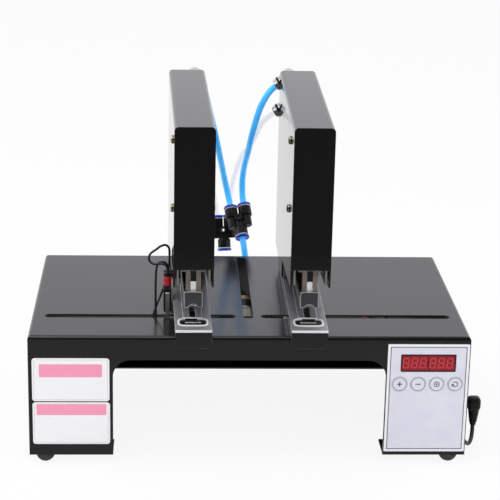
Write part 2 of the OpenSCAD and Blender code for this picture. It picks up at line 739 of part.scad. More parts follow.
// Power plug, lead and adaptor
module dc_plug() {
    color([0.1, 0.1, 0.11])
        translate([0, jack_y, 0]) {
            translate([0, 0, jack_z]) {
                rod_x(jack_hole - 0.7, [rim_x - 9, table_w / 2 + 1]);
                rod_x(9, [table_w / 2 + 0.5, plug_x]);
            }
            translate([plug_x, 0, plug_z[0]]) cylinder(d = plug_d, h = plug_z[1] - plug_z[0]);
            for (i = [0 : 2])
                translate([plug_x, 0, plug_z[0] - 2.2 * i - 1.4]) cylinder(d = 8.6 - 0.9 * i, h = 1.4);
            translate([plug_x, 0, relief_z]) cylinder(d = 5.4, h = plug_z[0] - relief_z);
        }
}
module power_adapter() {
    entry = [coil_end.x - adapter_relief, coil_end.x];
    color([0.1, 0.1, 0.11]) {
        translate([entry[0], coil_end.y, coil_end.z])
            rotate([0, 90, 0]) cylinder(d1 = 8, d2 = 5.4, h = adapter_relief);
        translate([0, coil_end.y, adapter.z / 2 - foot_h])
            along_x([entry[0] - adapter.x, entry[0]]) round_box(adapter.y, adapter.z, 5);
        for (s = [-1, 1])
            translate([entry[0] - adapter.x, coil_end.y + s * 6.4, adapter.z / 2 - foot_h])
                box([-17, -0.8, -3.2], [0, 0.8, 3.2]);
    }
}

// Heads: cover, front plate, frame and cylinder
module cover_side(y, low) {
    polygon([[y[0], mouth_front_z + low], [mouth_y + low, mouth_back_z + low], [mouth_y + low, skirt_z],
        [y[1], skirt_z], [y[1], head_h], [y[0], head_h]]);
}
module side_screw_holes(d) {
    for (z = screw_z) translate([0, screw_y, z]) rod_x(d, [-head_w, head_w]);
}
module cover(side) {
    color([0.15, 0.15, 0.16]) head(side)
        difference() {
            intersection() {
                along_x([-head_w / 2, head_w / 2]) cover_side(cover_y, 0);
                along_y(cover_y) arched(head_w, head_h, cover_r);
            }
            along_y([cover_y[0] - cut, cover_y[1] - cover_t])
                arched(2 * inner_x, head_h - cover_t, cover_r - cover_t);
            for (z = elbow_z)
                translate([elbow_x, 0, z])
                    rod_y(stud_d + 2 * fit, [cover_y[1] - cover_t - cut, cover_y[1] + cut]);
            side_screw_holes(screw_d + 2 * fit);
        }
}
module front_plate(side) {
    flange_x = [inner_x - fit - plate_t, inner_x - fit];
    color([0.09, 0.09, 0.09]) head(side)
        difference() {
            union() {
                along_y([-plate_over, cover_y[0]])
                    difference() {
                        arched(head_w, head_h, cover_r);
                        translate([-head_w, -cut]) square([2 * head_w, plate_z + cut]);
                    }
                for (s = [-1, 1])
                    box([min(s * flange_x[0], s * flange_x[1]), cover_y[0], flange_z[0]],
                        [max(s * flange_x[0], s * flange_x[1]), flange_rear, flange_z[1]]);
            }
            side_screw_holes(screw_d + 2 * fit);
        }
}
module frame(side) {
    rear = frame_y[1];
    color([0.7, 0.7, 0.72]) head(side) {
        difference() {
            union() {
                for (s = [-1, 1])
                    along_x(s < 0 ? [-frame_x[1], -frame_x[0]] : frame_x)
                        polygon([[frame_y[0], mouth_front_z + 1.5], [mouth_y + 2, mouth_back_z + 1.5],
                            [mouth_y + 2, arm_h], [rear, arm_h], [rear, frame_top], [frame_y[0], frame_top]]);
                box([-frame_x[0], web_y[0], arm_h], [frame_x[0], web_y[1], arm_h + web_t]);
                box([-frame_x[0], rear - frame_t, arm_h + web_t], [frame_x[0], rear, elbow_z[1] - 14]);
            }
            side_screw_holes(screw_d + 2 * fit);
            translate([0, pivot_y, pivot_z]) rod_x(pivot_d, [-head_w, head_w]);
        }
        translate([0, pivot_y, pivot_z]) {
            rod_x(pivot_d, [-frame_x[1], frame_x[1]]);
            for (s = [-1, 1])
                difference() {
                    rod_x(pivot_d + 4, s < 0 ? [-frame_x[0], -mag_x - gap] : [mag_x + gap, frame_x[0]]);
                    rod_x(pivot_d, [-head_w, head_w]);
                }
        }
    }
}
module head_screws(side) {
    color([0.6, 0.55, 0.42]) head(side)
        for (s = [-1, 1]) for (z = screw_z)
            translate([0, screw_y, z]) {
                rod_x(screw_d, s < 0 ? [-head_w / 2, -frame_x[0] + 5] : [frame_x[0] - 5, head_w / 2]);
                rod_x(screw_head[0], s < 0 ? [-head_w / 2 - screw_head[1], -head_w / 2]
                    : [head_w / 2, head_w / 2 + screw_head[1]]);
            }
}
module cylinder_block(side) {
    x = frame_x[0] - fit;
    port_y = bore_d / 2 + 8;
    color([0.75, 0.76, 0.78]) head(side)
        difference() {
            box([-x, cyl_y[0], cyl_z[0]], [x, cyl_y[1], cyl_z[1]]);
            translate([0, ram_y, bore_z[0]]) cylinder(d = bore_d, h = bore_z[1] - bore_z[0]);
            translate([0, ram_y, cyl_z[0] - cut])
                cylinder(d = rod_d + 2 * fit, h = bore_z[0] - cyl_z[0] + 2 * cut);
            for (s = [-1, 1]) for (z = screw_z)
                translate([0, screw_y, z]) rod_x(screw_d, s < 0 ? [-x - cut, 5.5 - x] : [x - 5.5, x + cut]);
            for (z = elbow_z)
                translate([elbow_x, 0, z]) rod_y(hose_d + 2 * fit, [cyl_y[1] - socket, cyl_y[1] + cut]);
            translate([elbow_x, 0, elbow_z[0]]) rod_y(passage_d, [bore_d / 4, cyl_y[1]]);
            translate([elbow_x, 0, elbow_z[1]]) rod_y(passage_d, [port_y, cyl_y[1]]);
            translate([elbow_x, port_y, bore_z[0] + 2])
                cylinder(d = passage_d, h = elbow_z[1] - bore_z[0] - 2);
            translate([elbow_x, 0, bore_z[0] + 2]) rod_y(passage_d, [bore_d / 4, port_y]);
        }
}
module elbow_fitting(i, turn) {
    translate([elbow_x, 0, elbow_z[i]]) {
        difference() {
            union() {
                rod_y(stud_d, [cover_y[1] - cover_t - 5, cover_y[1] + gap]);
                hex_y(port_d + 1.6, [cover_y[1] + gap, cover_y[1] + 3]);
                rod_y(port_d, [cover_y[1] + gap, elbow_y + port_d / 2]);
                translate([0, elbow_y, 0]) rotate([0, -90 - turn, 0]) cylinder(d = outlet_d, h = elbow_reach);
            }
            translate([0, elbow_y, 0]) rotate([0, -90 - turn, 0])
                translate([0, 0, elbow_reach - 6]) cylinder(d = hose_d + 2 * fit, h = 6 + cut);
        }
        rod_y(hose_d, [cyl_y[1] - socket + fit, cover_y[1] - cover_t - 5 - fit]);
    }
}
module elbows(side) {
    color([0.55, 0.55, 0.57]) head(side)
        for (i = [0, 1]) elbow_fitting(i, elbow_turn(side)[i]);
}

// Arm, anvil plate and clamp
module arm_base(side) {
    r = 3;
    color([0.12, 0.12, 0.12]) head(side)
        difference() {
            along_y([-arm_over + 0.6, arm_rear])
                translate([0, arm_h]) mirror([0, 1]) arched(arm_w, arm_h, r);
            for (s = [-1, 1])
                translate([s * bolt_x, slot_y, -cut]) cylinder(d = bolt_d, h = bolt_up + cut);
        }
}
module anvil_plate(side) {
    track = [blade_y + anvil_d / 2 + 1, mouth_y - 14];
    color([0.82, 0.82, 0.84]) head(side) {
        difference() {
            union() {
                box([-arm_w / 2, -arm_over, arm_h], [arm_w / 2, mouth_y - gap, anvil_z]);
                box([-track_w / 2, track[0], anvil_z], [track_w / 2, track[1], anvil_z + track_h]);
            }
            translate([0, blade_y, arm_h - cut])
                linear_extrude(anvil_t + 2 * cut) round_box(anvil_w + 2 * gap, anvil_d + 2 * gap, 3 + gap);
            translate([0, 0, arm_h - cut])
                linear_extrude(anvil_t + track_h + 2 * cut) slot([0, track[0] + 1], [0, track[0] + 30], 5.4);
        }
        difference() {
            translate([0, blade_y, arm_h]) linear_extrude(anvil_t - 0.8) round_box(anvil_w, anvil_d, 3);
            for (s = [-1, 1])
                translate([s * 3.1, blade_y, anvil_z + 0.6]) rotate([90, 0, 0])
                    cylinder(r = 3.2, h = 1.8, center = true);
        }
    }
}
module clamp(side) {
    top = -sheet_t - gap;
    color([0.6, 0.6, 0.62]) head(side) {
        difference() {
            translate([0, slot_y, top - strip.z / 2]) cube(strip, center = true);
            for (s = [-1, 1])
                translate([s * bolt_x, slot_y, top - strip.z - cut])
                    cylinder(d = bolt_d + 2 * gap, h = strip.z + 2 * cut);
        }
        for (s = [-1, 1])
            translate([s * bolt_x, slot_y, top - strip.z - fit - bolt_head[1]]) {
                cylinder(d = bolt_head[0], h = bolt_head[1], $fn = 6);
                cylinder(d = bolt_d, h = bolt_head[1] + strip.z - top + bolt_up - 0.5);
            }
    }
}

// Ram, magazine, nose and pusher
module piston_rod(side) {
    color([0.75, 0.75, 0.78]) head(side)
        translate([0, ram_y, 0]) {
            translate([0, 0, bar_z[1]]) cylinder(d = rod_d, h = piston_z - bar_z[1]);
            translate([0, 0, piston_z]) cylinder(d = bore_d - 2 * fit, h = piston_h);
        }
}
module ram(side) {
    groove = [leg_y[0] - cut, blade_y + blade_t / 2];
    color([0.58, 0.55, 0.52]) head(side) {
        difference() {
            union() {
                box([-bar_x, leg_y[0], bar_z[0]], [bar_x, ram_y + rod_d / 2 + 1, bar_z[1]]);
                box([-leg_x[1], leg_y[0], leg_z], [leg_x[1], leg_y[1], bar_z[0]]);
            }
            box([-leg_x[0], groove[0], leg_z - cut], [leg_x[0], groove[1], bar_z[1] - 3]);
        }
        box([-leg_x[0] + fit, groove[1] - blade_t, blade_tip], [leg_x[0] - fit, groove[1], bar_z[0]]);
        box([-blade_w / 2, groove[1] - blade_t, blade_tip], [blade_w / 2, groove[1], leg_z - gap]);
    }
}
module opened() {
    translate([0, pivot_y, pivot_z]) rotate([-open_angle, 0, 0])
        translate([0, -pivot_y, -pivot_z]) children();
}
module magazine_side() {
    polygon([[mag_y[0], mag_z], [mag_y[1], mag_z], [mag_y[1], mag_z + ear_h],
        [mag_y[1] - ear_d, mag_z + ear_h], [mag_y[1] - ear_d - 6, mag_z + mag_h],
        [mag_y[0] + relief[0], mag_z + mag_h],
        [mag_y[0] + relief[0], mag_z + relief[1]], [mag_y[0], mag_z + relief[1]]]);
}
module magazine(side) {
    color([0.62, 0.62, 0.64]) head(side) opened()
        difference() {
            union() {
                for (s = [-1, 1])
                    along_x(s < 0 ? [-mag_x, -mag_x + mag_t] : [mag_x - mag_t, mag_x]) magazine_side();
                box([-mag_x, mag_y[0], mag_z], [mag_x, mag_y[1], mag_z + mag_t]);
                box([-mag_x, mag_y[1] - ear_d - 7, mag_z], [mag_x, mag_y[1] - ear_d - 6, mag_z + mag_h]);
            }
            translate([0, pivot_y, pivot_z]) rod_x(pivot_d + fit, [-head_w, head_w]);
        }
}
module nose_plate(side) {
    top = mag_z + nose_h;
    color([0.35, 0.35, 0.37]) head(side) opened() {
        along_y(nose_y)
            difference() {
                translate([0, mag_z])
                    intersection() {
                        arched(mag_w, nose_h, 1.5);
                        translate([0, nose_h - 4 * mag_w]) circle(4 * mag_w, $fn = 180);
                    }
                translate([0, mag_z - 1.5]) circle(4.2);
            }
        for (s = [-1, 1])
            box([min(s * mag_x, s * (mag_x - mag_t)), nose_y[1], mag_z],
                [max(s * mag_x, s * (mag_x - mag_t)), mag_y[0] - fit, top - 1]);
    }
}
module pusher(side) {
    x = mag_x - mag_t - gap;
    color([0.3, 0.3, 0.32]) head(side) opened()
        difference() {
            box([-x, pusher_y[0], mag_z + mag_t + gap], [x, pusher_y[1], mag_z + mag_h - 0.5]);
            box([-x + 2, pusher_y[0] + 4, mag_z + mag_t + 2], [x - 2, pusher_y[1] + cut, mag_z + mag_h]);
        }
}

// Paper switch
module switch_bracket() {
    y = [switch_at.y - 3, switch_at.y + switch_size.y + 3];
    color([0.5, 0.5, 0.52]) head(-1)
        box([bracket_x[0], y[0], switch_at.z], [bracket_x[1], y[1], switch_at.z + switch_size.z]);
}
module switch_body() {
    far = switch_at + switch_size;
    color([0.1, 0.1, 0.11]) head(-1) {
        box([switch_at.x, switch_at.y, switch_at.z], far);
        for (s = [0, 1])
            translate([lever_at.x, lever_at.y, lever_at.z])
                box([s * (switch_size.x - 1) - switch_size.x / 2, -1.2, -1.4],
                    [s * (switch_size.x - 1) - switch_size.x / 2 + 1, lever_gap, 1.4]);
        translate(lever_at) rod_x(lever_pin, [-switch_size.x / 2, switch_size.x / 2]);
        for (y = crimp_y) {
            box([switch_at.x + 2.7, y - 1, far.z], [switch_at.x + 3.7, y + 1, crimp_z[0]]);
            translate([switch_at.x + 3.2, y, crimp_z[0]]) cylinder(d = crimp_d, h = crimp_z[1] - crimp_z[0]);
        }
    }
}
module switch_lever() {
    color([0.5, 0.5, 0.47]) head(-1)
        translate(lever_at) rotate([-lever_lean, 0, 0])
            difference() {
                union() {
                    box([-lever_w / 2, -lever_t - 0.8, -lever_len], [lever_w / 2, -0.8, 0]);
                    rod_x(lever_pin + 1.4, [-lever_w / 2, lever_w / 2]);
                }
                rod_x(lever_pin + fit, [-head_w, head_w]);
            }
}
module switch_wires() {
    color([0.1, 0.1, 0.11]) {
        tube(smooth(switch_wire_front, 3), wire_d, 8);
        tube(smooth(switch_wire_rear, 3), wire_d, 8);
    }
}

place() table_shell();
place() rear_panel();
place() rear_panel_screws();
place() rubber_feet();
place() control_panel();
place() display_modules();
place() control_board();
place() key(0);  // key_plus
place() key(1);  // key_minus
place() key(2);  // key_set
place() key(3);  // key_reset
place() valve_body();
place() valve_coil();
place() valve_wires();
place() air_fittings();
place() inner_hoses();
place() supply_y();
place() return_y();
place() release_collars();
place() hose(trunk_path, hose_blue);  // supply_trunk
place() hose(supply_left_path, hose_blue);  // supply_left_hose
place() hose(supply_right_path, hose_blue);  // supply_right_hose
place() hose(return_left_path, hose_clear);  // return_left_hose
place() hose(return_right_path, hose_clear);  // return_right_hose
place() dc_plug();
place() color("black") tube(smooth(lead_path, 6), lead_d, 8);  // dc_lead
place() color("black") tube(coil_path, lead_d, 6);  // dc_lead_coil
place() power_adapter();
place() cover(-1);  // left_cover
place() front_plate(-1);  // left_front_plate
place() frame(-1);  // left_frame
place() head_screws(-1);  // left_head_screws
place() cylinder_block(-1);  // left_cylinder
place() elbows(-1);  // left_elbows
place() arm_base(-1);  // left_arm_base
place() anvil_plate(-1);  // left_anvil_plate
place() clamp(-1);  // left_clamp
place() piston_rod(-1);  // left_piston_rod
place() ram(-1);  // left_ram
place() magazine(-1);  // left_magazine
place() nose_plate(-1);  // left_nose_plate
place() pusher(-1);  // left_pusher
place() cover(1);  // right_cover
place() front_plate(1);  // right_front_plate
place() frame(1);  // right_frame
place() head_screws(1);  // right_head_screws
place() cylinder_block(1);  // right_cylinder
place() elbows(1);  // right_elbows
place() arm_base(1);  // right_arm_base
place() anvil_plate(1);  // right_anvil_plate
place() clamp(1);  // right_clamp
place() piston_rod(1);  // right_piston_rod
place() ram(1);  // right_ram
place() magazine(1);  // right_magazine
place() nose_plate(1);  // right_nose_plate
place() pusher(1);  // right_pusher
place() switch_bracket();
place() switch_body();
place() switch_lever();
place() switch_wires();
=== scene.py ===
import bmesh
import bpy
from math import cos, pi, radians, sin, sqrt
from mathutils import Matrix, Vector


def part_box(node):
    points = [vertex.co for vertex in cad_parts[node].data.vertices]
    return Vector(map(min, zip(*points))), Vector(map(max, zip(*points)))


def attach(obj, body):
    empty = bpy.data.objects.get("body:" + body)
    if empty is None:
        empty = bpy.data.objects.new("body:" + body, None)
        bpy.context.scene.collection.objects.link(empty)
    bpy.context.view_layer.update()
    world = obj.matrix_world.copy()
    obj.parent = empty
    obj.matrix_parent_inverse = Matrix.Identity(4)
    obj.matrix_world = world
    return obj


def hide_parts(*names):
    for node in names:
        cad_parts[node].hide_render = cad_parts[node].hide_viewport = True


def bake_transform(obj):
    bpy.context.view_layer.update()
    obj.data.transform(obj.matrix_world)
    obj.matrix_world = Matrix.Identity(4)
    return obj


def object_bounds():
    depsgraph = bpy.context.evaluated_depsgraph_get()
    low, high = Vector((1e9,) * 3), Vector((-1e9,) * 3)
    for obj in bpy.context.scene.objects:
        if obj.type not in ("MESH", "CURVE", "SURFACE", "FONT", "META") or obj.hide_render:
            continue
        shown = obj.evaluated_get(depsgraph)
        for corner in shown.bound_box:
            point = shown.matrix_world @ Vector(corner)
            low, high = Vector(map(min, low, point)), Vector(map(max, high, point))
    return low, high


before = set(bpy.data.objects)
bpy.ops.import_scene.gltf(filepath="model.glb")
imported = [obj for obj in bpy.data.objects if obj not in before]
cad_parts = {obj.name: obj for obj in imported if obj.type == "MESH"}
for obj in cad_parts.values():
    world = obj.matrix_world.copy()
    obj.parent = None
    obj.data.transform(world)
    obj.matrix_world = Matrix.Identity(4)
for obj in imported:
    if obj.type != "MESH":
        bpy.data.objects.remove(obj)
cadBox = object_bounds()
scene = bpy.context.scene
scene.view_settings.view_transform = "Standard"

# lengths are millimetres from the table: X across, Y back from its front face, Z up from the leg bottoms
mm = 0.001
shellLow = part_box("table_shell")[0]
toRow = Matrix.Translation((0, shellLow.y, shellLow.z)) @ Matrix.Scale(mm, 4)
tableTop = 107
slotY = 49.5
heads = {
    -1: {"body": "left", "x": -49.5, "turn": radians(1.2), "elbowTurns": (60, 80)},
    1: {"body": "right", "x": 47.5, "turn": radians(-0.5), "elbowTurns": (38, 34)},
}


def inRow(point):
    return toRow @ Vector(point)


def headPoint(side, x, y, z):
    head = heads[side]
    turned = Matrix.Rotation(head["turn"], 3, "Z") @ Vector((side * x, y - slotY, 0))
    return Vector((head["x"], slotY, tableTop + z)) + turned


def linked(name, data):
    made = bpy.data.objects.new(name, data)
    scene.collection.objects.link(made)
    return made


# camera, from the photograph's own perspective
photoCamera = {
    "at": (-69.5, -1314.2, 607.2), "pitch": 17.87, "yaw": 2.93, "roll": -1.23, "lens": 121.8,
}


def addCamera():
    pitch, yaw, roll = [radians(photoCamera[k]) for k in ("pitch", "yaw", "roll")]
    ahead = Vector((sin(yaw) * cos(pitch), cos(yaw) * cos(pitch), -sin(pitch)))
    right = Vector((cos(yaw), -sin(yaw), 0))
    down = ahead.cross(right)
    across = cos(roll) * right + sin(roll) * down
    under = cos(roll) * down - sin(roll) * right
    camera = linked("photoCamera", bpy.data.cameras.new("photoCamera"))
    camera.data.lens = photoCamera["lens"]
    camera.data.sensor_width = 36
    camera.data.clip_end = 50
    turn = Matrix((across, -under, -ahead)).transposed()
    camera.matrix_world = Matrix.Translation(inRow(photoCamera["at"])) @ turn.to_4x4()
    scene.camera = camera


addCamera()
print("camera set")

finishes = {}  # materials by name, kept as they are made


# shader maths on sockets
class Value:
    def __init__(self, bench, socket):
        self.bench = bench
        self.socket = socket

    def work(self, operation, other, flip=False):
        first, second = (other, self) if flip else (self, other)
        return self.bench.add("ShaderNodeMath", {"operation": operation}, {0: first, 1: second})

    def __add__(self, other):
        return self.work("ADD", other)

    def __radd__(self, other):
        return self.work("ADD", other, True)

    def __sub__(self, other):
        return self.work("SUBTRACT", other)

    def __rsub__(self, other):
        return self.work("SUBTRACT", other, True)

    def __mul__(self, other):
        return self.work("MULTIPLY", other)

    def __rmul__(self, other):
        return self.work("MULTIPLY", other, True)

    def __gt__(self, other):
        return self.work("GREATER_THAN", other)

    def __lt__(self, other):
        return self.work("LESS_THAN", other)

    def kept(self):
        return self.bench.add("ShaderNodeClamp", {}, {"Value": self})

    def highest(self, other):
        return self.work("MAXIMUM", other)


class Bench:
    def __init__(self, holder):
        holder.use_nodes = True
        self.holder = holder
        self.tree = holder.node_tree
        self.tree.nodes.clear()

    def find(self, sockets, key):
        if isinstance(key, int):
            return sockets[key]
        return next(s for s in sockets if key in (s.identifier, s.name) and s.enabled)

    def add(self, kind, settings=None, values=None, out=0):
        node = self.tree.nodes.new(kind)
        for key, value in (settings or {}).items():
            setattr(node, key, value)
        for key, value in (values or {}).items():
            socket = self.find(node.inputs, key)
            if isinstance(value, Value):
                self.tree.links.new(value.socket, socket)
            else:
                socket.default_value = value
        if not node.outputs:
            return node
        return Value(self, self.find(node.outputs, out))

    def spot(self):
        return self.add("ShaderNodeTexCoord", out="Object")

    def axis(self, vector, letter):
        return self.add("ShaderNodeSeparateXYZ", {}, {"Vector": vector}, letter)

    def reach(self, letter, start):
        return (self.axis(self.spot(), letter) - start) * (1 / mm)

    def rays(self):
        return [self.add("ShaderNodeLightPath", out=f"Is {kind} Ray")
                for kind in ("Camera", "Glossy", "Transmission")]

    def noise(self, scale, detail=2, grain=None):
        at = self.spot()
        if grain:
            at = self.add("ShaderNodeVectorMath", {"operation": "MULTIPLY"}, {0: at, 1: grain})
        return self.add("ShaderNodeTexNoise", {}, {"Vector": at, "Scale": scale, "Detail": detail}, "Fac")

    def patches(self, scale, detail, low, high):
        return self.spread(self.noise(scale, detail), low, high)

    def spread(self, value, low, high):
        return self.add("ShaderNodeMapRange", {"clamp": True},
                        {"Value": value, "From Min": low, "From Max": high})

    def between(self, value, low, high):
        return (value > low) * (value < high)

    def tint(self, mask, first, second):
        def rgba(colour):
            return colour if isinstance(colour, Value) else (*colour, 1)
        return self.add("ShaderNodeMix", {"data_type": "RGBA"},
                        {"Factor_Float": mask, "A_Color": rgba(first), "B_Color": rgba(second)},
                        "Result_Color")

    def softEdge(self, radius):
        return self.add("ShaderNodeBevel", {"samples": 4}, {"Radius": radius * mm})

    def edgeMask(self, rounded, gain):
        flat = self.add("ShaderNodeNewGeometry", out="Normal")
        likeness = self.add("ShaderNodeVectorMath", {"operation": "DOT_PRODUCT"},
                            {0: rounded, 1: flat}, "Value")
        return ((1 - likeness) * gain).kept()

    def bump(self, height, strength, depth, over=None):
        values = {"Height": height, "Strength": strength, "Distance": depth * mm}
        if over:
            values["Normal"] = over
        return self.add("ShaderNodeBump", {}, values)

    def surface(self, values, glow=0):
        if glow:
            values = {**values, "Emission Color": values["Base Color"], "Emission Strength": glow}
        shader = self.add("ShaderNodeBsdfPrincipled", {}, values)
        self.add("ShaderNodeOutputMaterial", {}, {"Surface": shader})


def newBench(name):
    bench = Bench(bpy.data.materials.new(name))
    finishes[name] = bench.holder
    return bench


# gloss paint: orange peel, smudges, a little dust and worn edges
def glossPaint(name, colour, paleTone, sheen, wear):
    bench = newBench(name)
    rounded = bench.softEdge(0.7)
    scuffs = bench.patches(160, 4, 0.42, 0.66)
    edges = bench.edgeMask(rounded, 7) * scuffs * wear
    dust = bench.patches(1500, 1, 0.74, 0.8) * 0.35
    smudge = bench.noise(22, 4, (1, 0.6, 1.3))
    peel = bench.noise(520)
    bench.surface({
        "Base Color": bench.tint(edges.highest(dust), colour, paleTone),
        "Roughness": sheen + 0.09 * smudge + 0.3 * edges,
        "IOR": 1.56,
        "Normal": bench.bump(peel, 0.05, 0.06, rounded),
    })


# metals: the grain runs along one axis; with rim, the edges are painted a near-white highlight
def grainedMetal(name, colour, dull, sheen, grain, strength=0.12, edge=0.3, metal=1.0, rim=None):
    bench = newBench(name)
    rounded = bench.softEdge(edge)
    lines = bench.noise(1, 3, grain)
    stain = bench.patches(90, 4, 0.4, 0.75)
    edges = bench.edgeMask(rounded, 16 if rim else 5)
    base = bench.tint((stain * 0.55 - edges * 0.4).kept(), colour, dull)
    bench.surface({
        # with rim, edges are painted near white and less metallic: painted highlight
        "Base Color": bench.tint(edges, base, rim) if rim else base,
        "Metallic": metal - 0.8 * edges if rim else metal,
        "Roughness": sheen + 0.2 * lines + 0.12 * stain,
        "Normal": bench.bump(lines, strength, 0.04, rounded),
    })


# moulded plastic: fine spark-eroded grain and faint rubbed patches
def mouldedPlastic(name, colour, rubbed, sheen, shine=0.5):
    bench = newBench(name)
    rounded = bench.softEdge(0.35)
    grain = bench.noise(1800)
    patches = bench.patches(110, 3, 0.45, 0.75)
    edges = bench.edgeMask(rounded, 4)
    bench.surface({
        "Base Color": bench.tint((patches * 0.5 + edges * 0.5).kept(), colour, rubbed),
        "Roughness": sheen + 0.15 * grain - 0.08 * patches,
        "IOR": 1.5,
        "Specular IOR Level": shine,
        "Normal": bench.bump(grain, 0.12, 0.03, rounded),
    })


# anvil plate: brushed plating with painted highlights on its edges, on its front lip and on the ring round
# the anvil; the polished anvil let into it is painted near black as the shade in its recess, with painted
# highlights on its grooves; half sizes across and along
anvilSeat = {
    "y": -6.6, "z": 14, "insert": (11, 7.3, 0), "glintLip": (12.8, 10.2, 1.2), "tip": -19.9, "groove": (6.6, 1.1),
    # the bright white is the painted highlight on the edges, the front lip and the ring round the anvil
    "plate": ((0.36, 0.36, 0.37), (0.29, 0.29, 0.30)), "bright": (0.97, 0.97, 0.98),
    # the dark colour is painted shade in the anvil recess; the pale groove colour is a painted highlight on
    # the anvil grooves
    "dark": (0.012, 0.012, 0.013), "paleTone": (0.88, 0.87, 0.82),
}


def anvilPlating(name, side):
    bench = newBench(name)
    middle = inRow(headPoint(side, 0, anvilSeat["y"], anvilSeat["z"]))
    across = bench.reach("X", middle.x)
    along = bench.reach("Y", middle.y)
    wide, deep = anvilSeat["groove"]

    def oval(halfWide, halfDeep, forward):
        u, v = across * (1 / halfWide), (along + forward) * (1 / halfDeep)
        return u * u * u * u + v * v * v * v < 1

    anvil = oval(*anvilSeat["insert"])
    # the ring round the anvil and the front lip are painted as highlight
    glintLip = (oval(*anvilSeat["glintLip"]) * (1 - anvil)).highest(along < anvilSeat["tip"])
    groove = bench.between(across, -wide, wide) * bench.between(along, -deep, deep)
    rounded = bench.softEdge(0.6)
    lines = bench.noise(1, 3, (1200, 50, 1200))
    stain = bench.patches(90, 4, 0.4, 0.75)
    # edges and lip are painted near white and less metallic: painted highlight
    edges = bench.edgeMask(rounded, 14).highest(glintLip * 0.8)
    plate = bench.tint(edges, bench.tint(stain, *anvilSeat["plate"]), anvilSeat["bright"])
    # anvil insert: near black as painted shade, with its grooves pale as painted highlight
    insert = bench.tint(groove, anvilSeat["dark"], anvilSeat["paleTone"])
    bench.surface({
        "Base Color": bench.tint(anvil, plate, insert),
        "Metallic": 0.55 - 0.4 * edges,
        "Roughness": 0.36 + 0.12 * lines - 0.2 * anvil,
        "Normal": bench.bump(lines, 0.06, 0.04, rounded),
    })


# ram: brown oiled legs, a polished driver blade in the groove between them, and over it a notch painted near
# black as shade
ramFace = {
    "y": -5, "groove": 2.35, "bladeTop": 51, "notchTop": 59.5, "blade": (0.93, 0.93, 0.94),
    "legs": ((0.30, 0.245, 0.215), (0.21, 0.175, 0.155)), "shadeNotch": (0.006, 0.006, 0.006),
}


def ramSteel(name, side):
    bench = newBench(name)
    middle = inRow(headPoint(side, 0, ramFace["y"], 0))
    up = bench.reach("Z", middle.z)
    groove = bench.between(bench.reach("X", middle.x), -ramFace["groove"], ramFace["groove"])
    blade = groove * (up < ramFace["bladeTop"])
    # the groove above the blade is painted near black and non-metallic: painted shade
    shadeNotch = groove * bench.between(up, ramFace["bladeTop"], ramFace["notchTop"])
    rounded = bench.softEdge(0.3)
    lines = bench.noise(1, 3, (1500, 1500, 70))
    stain = bench.patches(120, 4, 0.4, 0.75)
    legs = bench.tint(shadeNotch, bench.tint(stain, *ramFace["legs"]), ramFace["shadeNotch"])
    bench.surface({
        "Base Color": bench.tint(blade, legs, ramFace["blade"]),
        "Metallic": 0.6 - 0.2 * blade - 0.5 * shadeNotch,
        "Roughness": 0.34 + 0.15 * lines,
        "Normal": bench.bump(lines, 0.1, 0.04, rounded),
    })


def softRubber(name, colour, dusty):
    bench = newBench(name)
    grain = bench.noise(1300, 3)
    dust = bench.patches(240, 4, 0.45, 0.8)
    bench.surface({
        "Base Color": bench.tint(dust, colour, dusty),
        "Roughness": 0.62 + 0.25 * grain,
        "Normal": bench.bump(grain, 0.25, 0.05, bench.softEdge(0.4)),
    })


# hoses: draw lines along the tube and a faint haze; the blue one has a painted glow for the light passing
# through it, the clear one a thin film
def drawnHose(name, colour, deep, clear, sheen, glow=0, solid=1):
    bench = newBench(name)
    haze = bench.patches(130, 3, 0.35, 0.75)
    lines = bench.noise(1, 2, (1600, 1600, 90))
    bench.surface({
        "Base Color": bench.tint(haze, colour, deep),
        "Roughness": sheen + 0.1 * haze,
        "IOR": 1.42,
        "Transmission Weight": clear,
        "Alpha": solid,
        "Normal": bench.bump(lines, 0.06, 0.03),
    }, glow)


# panel film: white margin, a thin line, then a pale field; X and Z run over the leg
panel = {
    "x": (115.3, 184.2), "z": (3.5, 101), "margin": 2.1, "line": 0.75,
    "field": ((0.70, 0.71, 0.80), (0.75, 0.765, 0.83)), "white": (0.88, 0.88, 0.9), "ink": (0.1, 0.1, 0.125),
}


def panelFilm(name, framed):
    bench = newBench(name)
    across = bench.reach("X", 0)
    up = bench.reach("Z", shellLow.z)

    def inside(gap):
        return (bench.between(across, panel["x"][0] + gap, panel["x"][1] - gap)
                * bench.between(up, panel["z"][0] + gap, panel["z"][1] - gap))

    fibre = bench.noise(2600)
    cloud = bench.patches(60, 3, 0.3, 0.8)
    base = bench.tint(cloud, *panel["field"])
    if framed:
        ruled = bench.tint(inside(panel["margin"]), panel["white"], panel["ink"])
        base = bench.tint(inside(panel["margin"] + panel["line"]), ruled, base)
    bench.surface({
        "Base Color": base,
        "Roughness": 0.34 + 0.12 * fibre,
        "Normal": bench.bump(fibre, 0.06, 0.02, bench.softEdge(0.25)),
    })


def plainInk(name, colour, glow=0, sheen=0.4):
    bench = newBench(name)
    spots = bench.patches(3200, 2, 0.35, 0.7)
    pale = [min(1, c * 1.18 + 0.01) for c in colour]
    bench.surface({"Base Color": bench.tint(spots, colour, pale), "Roughness": sheen + 0.1 * spots}, glow)


# display modules: smoked red filter
def redFilter(name):
    bench = newBench(name)
    depth = bench.patches(220, 3, 0.3, 0.75)
    bench.surface({
        "Base Color": bench.tint(depth, (0.235, 0.006, 0.013), (0.31, 0.009, 0.018)),
        "Roughness": 0.14 + 0.1 * depth,
        "Normal": bench.bump(bench.noise(900), 0.03, 0.02, bench.softEdge(0.3)),
    })


# board: green solder mask with tracks, and black parts in front of it and behind it
board = {"front": 7.9, "rear": 9.7, "wireY": 9.6}


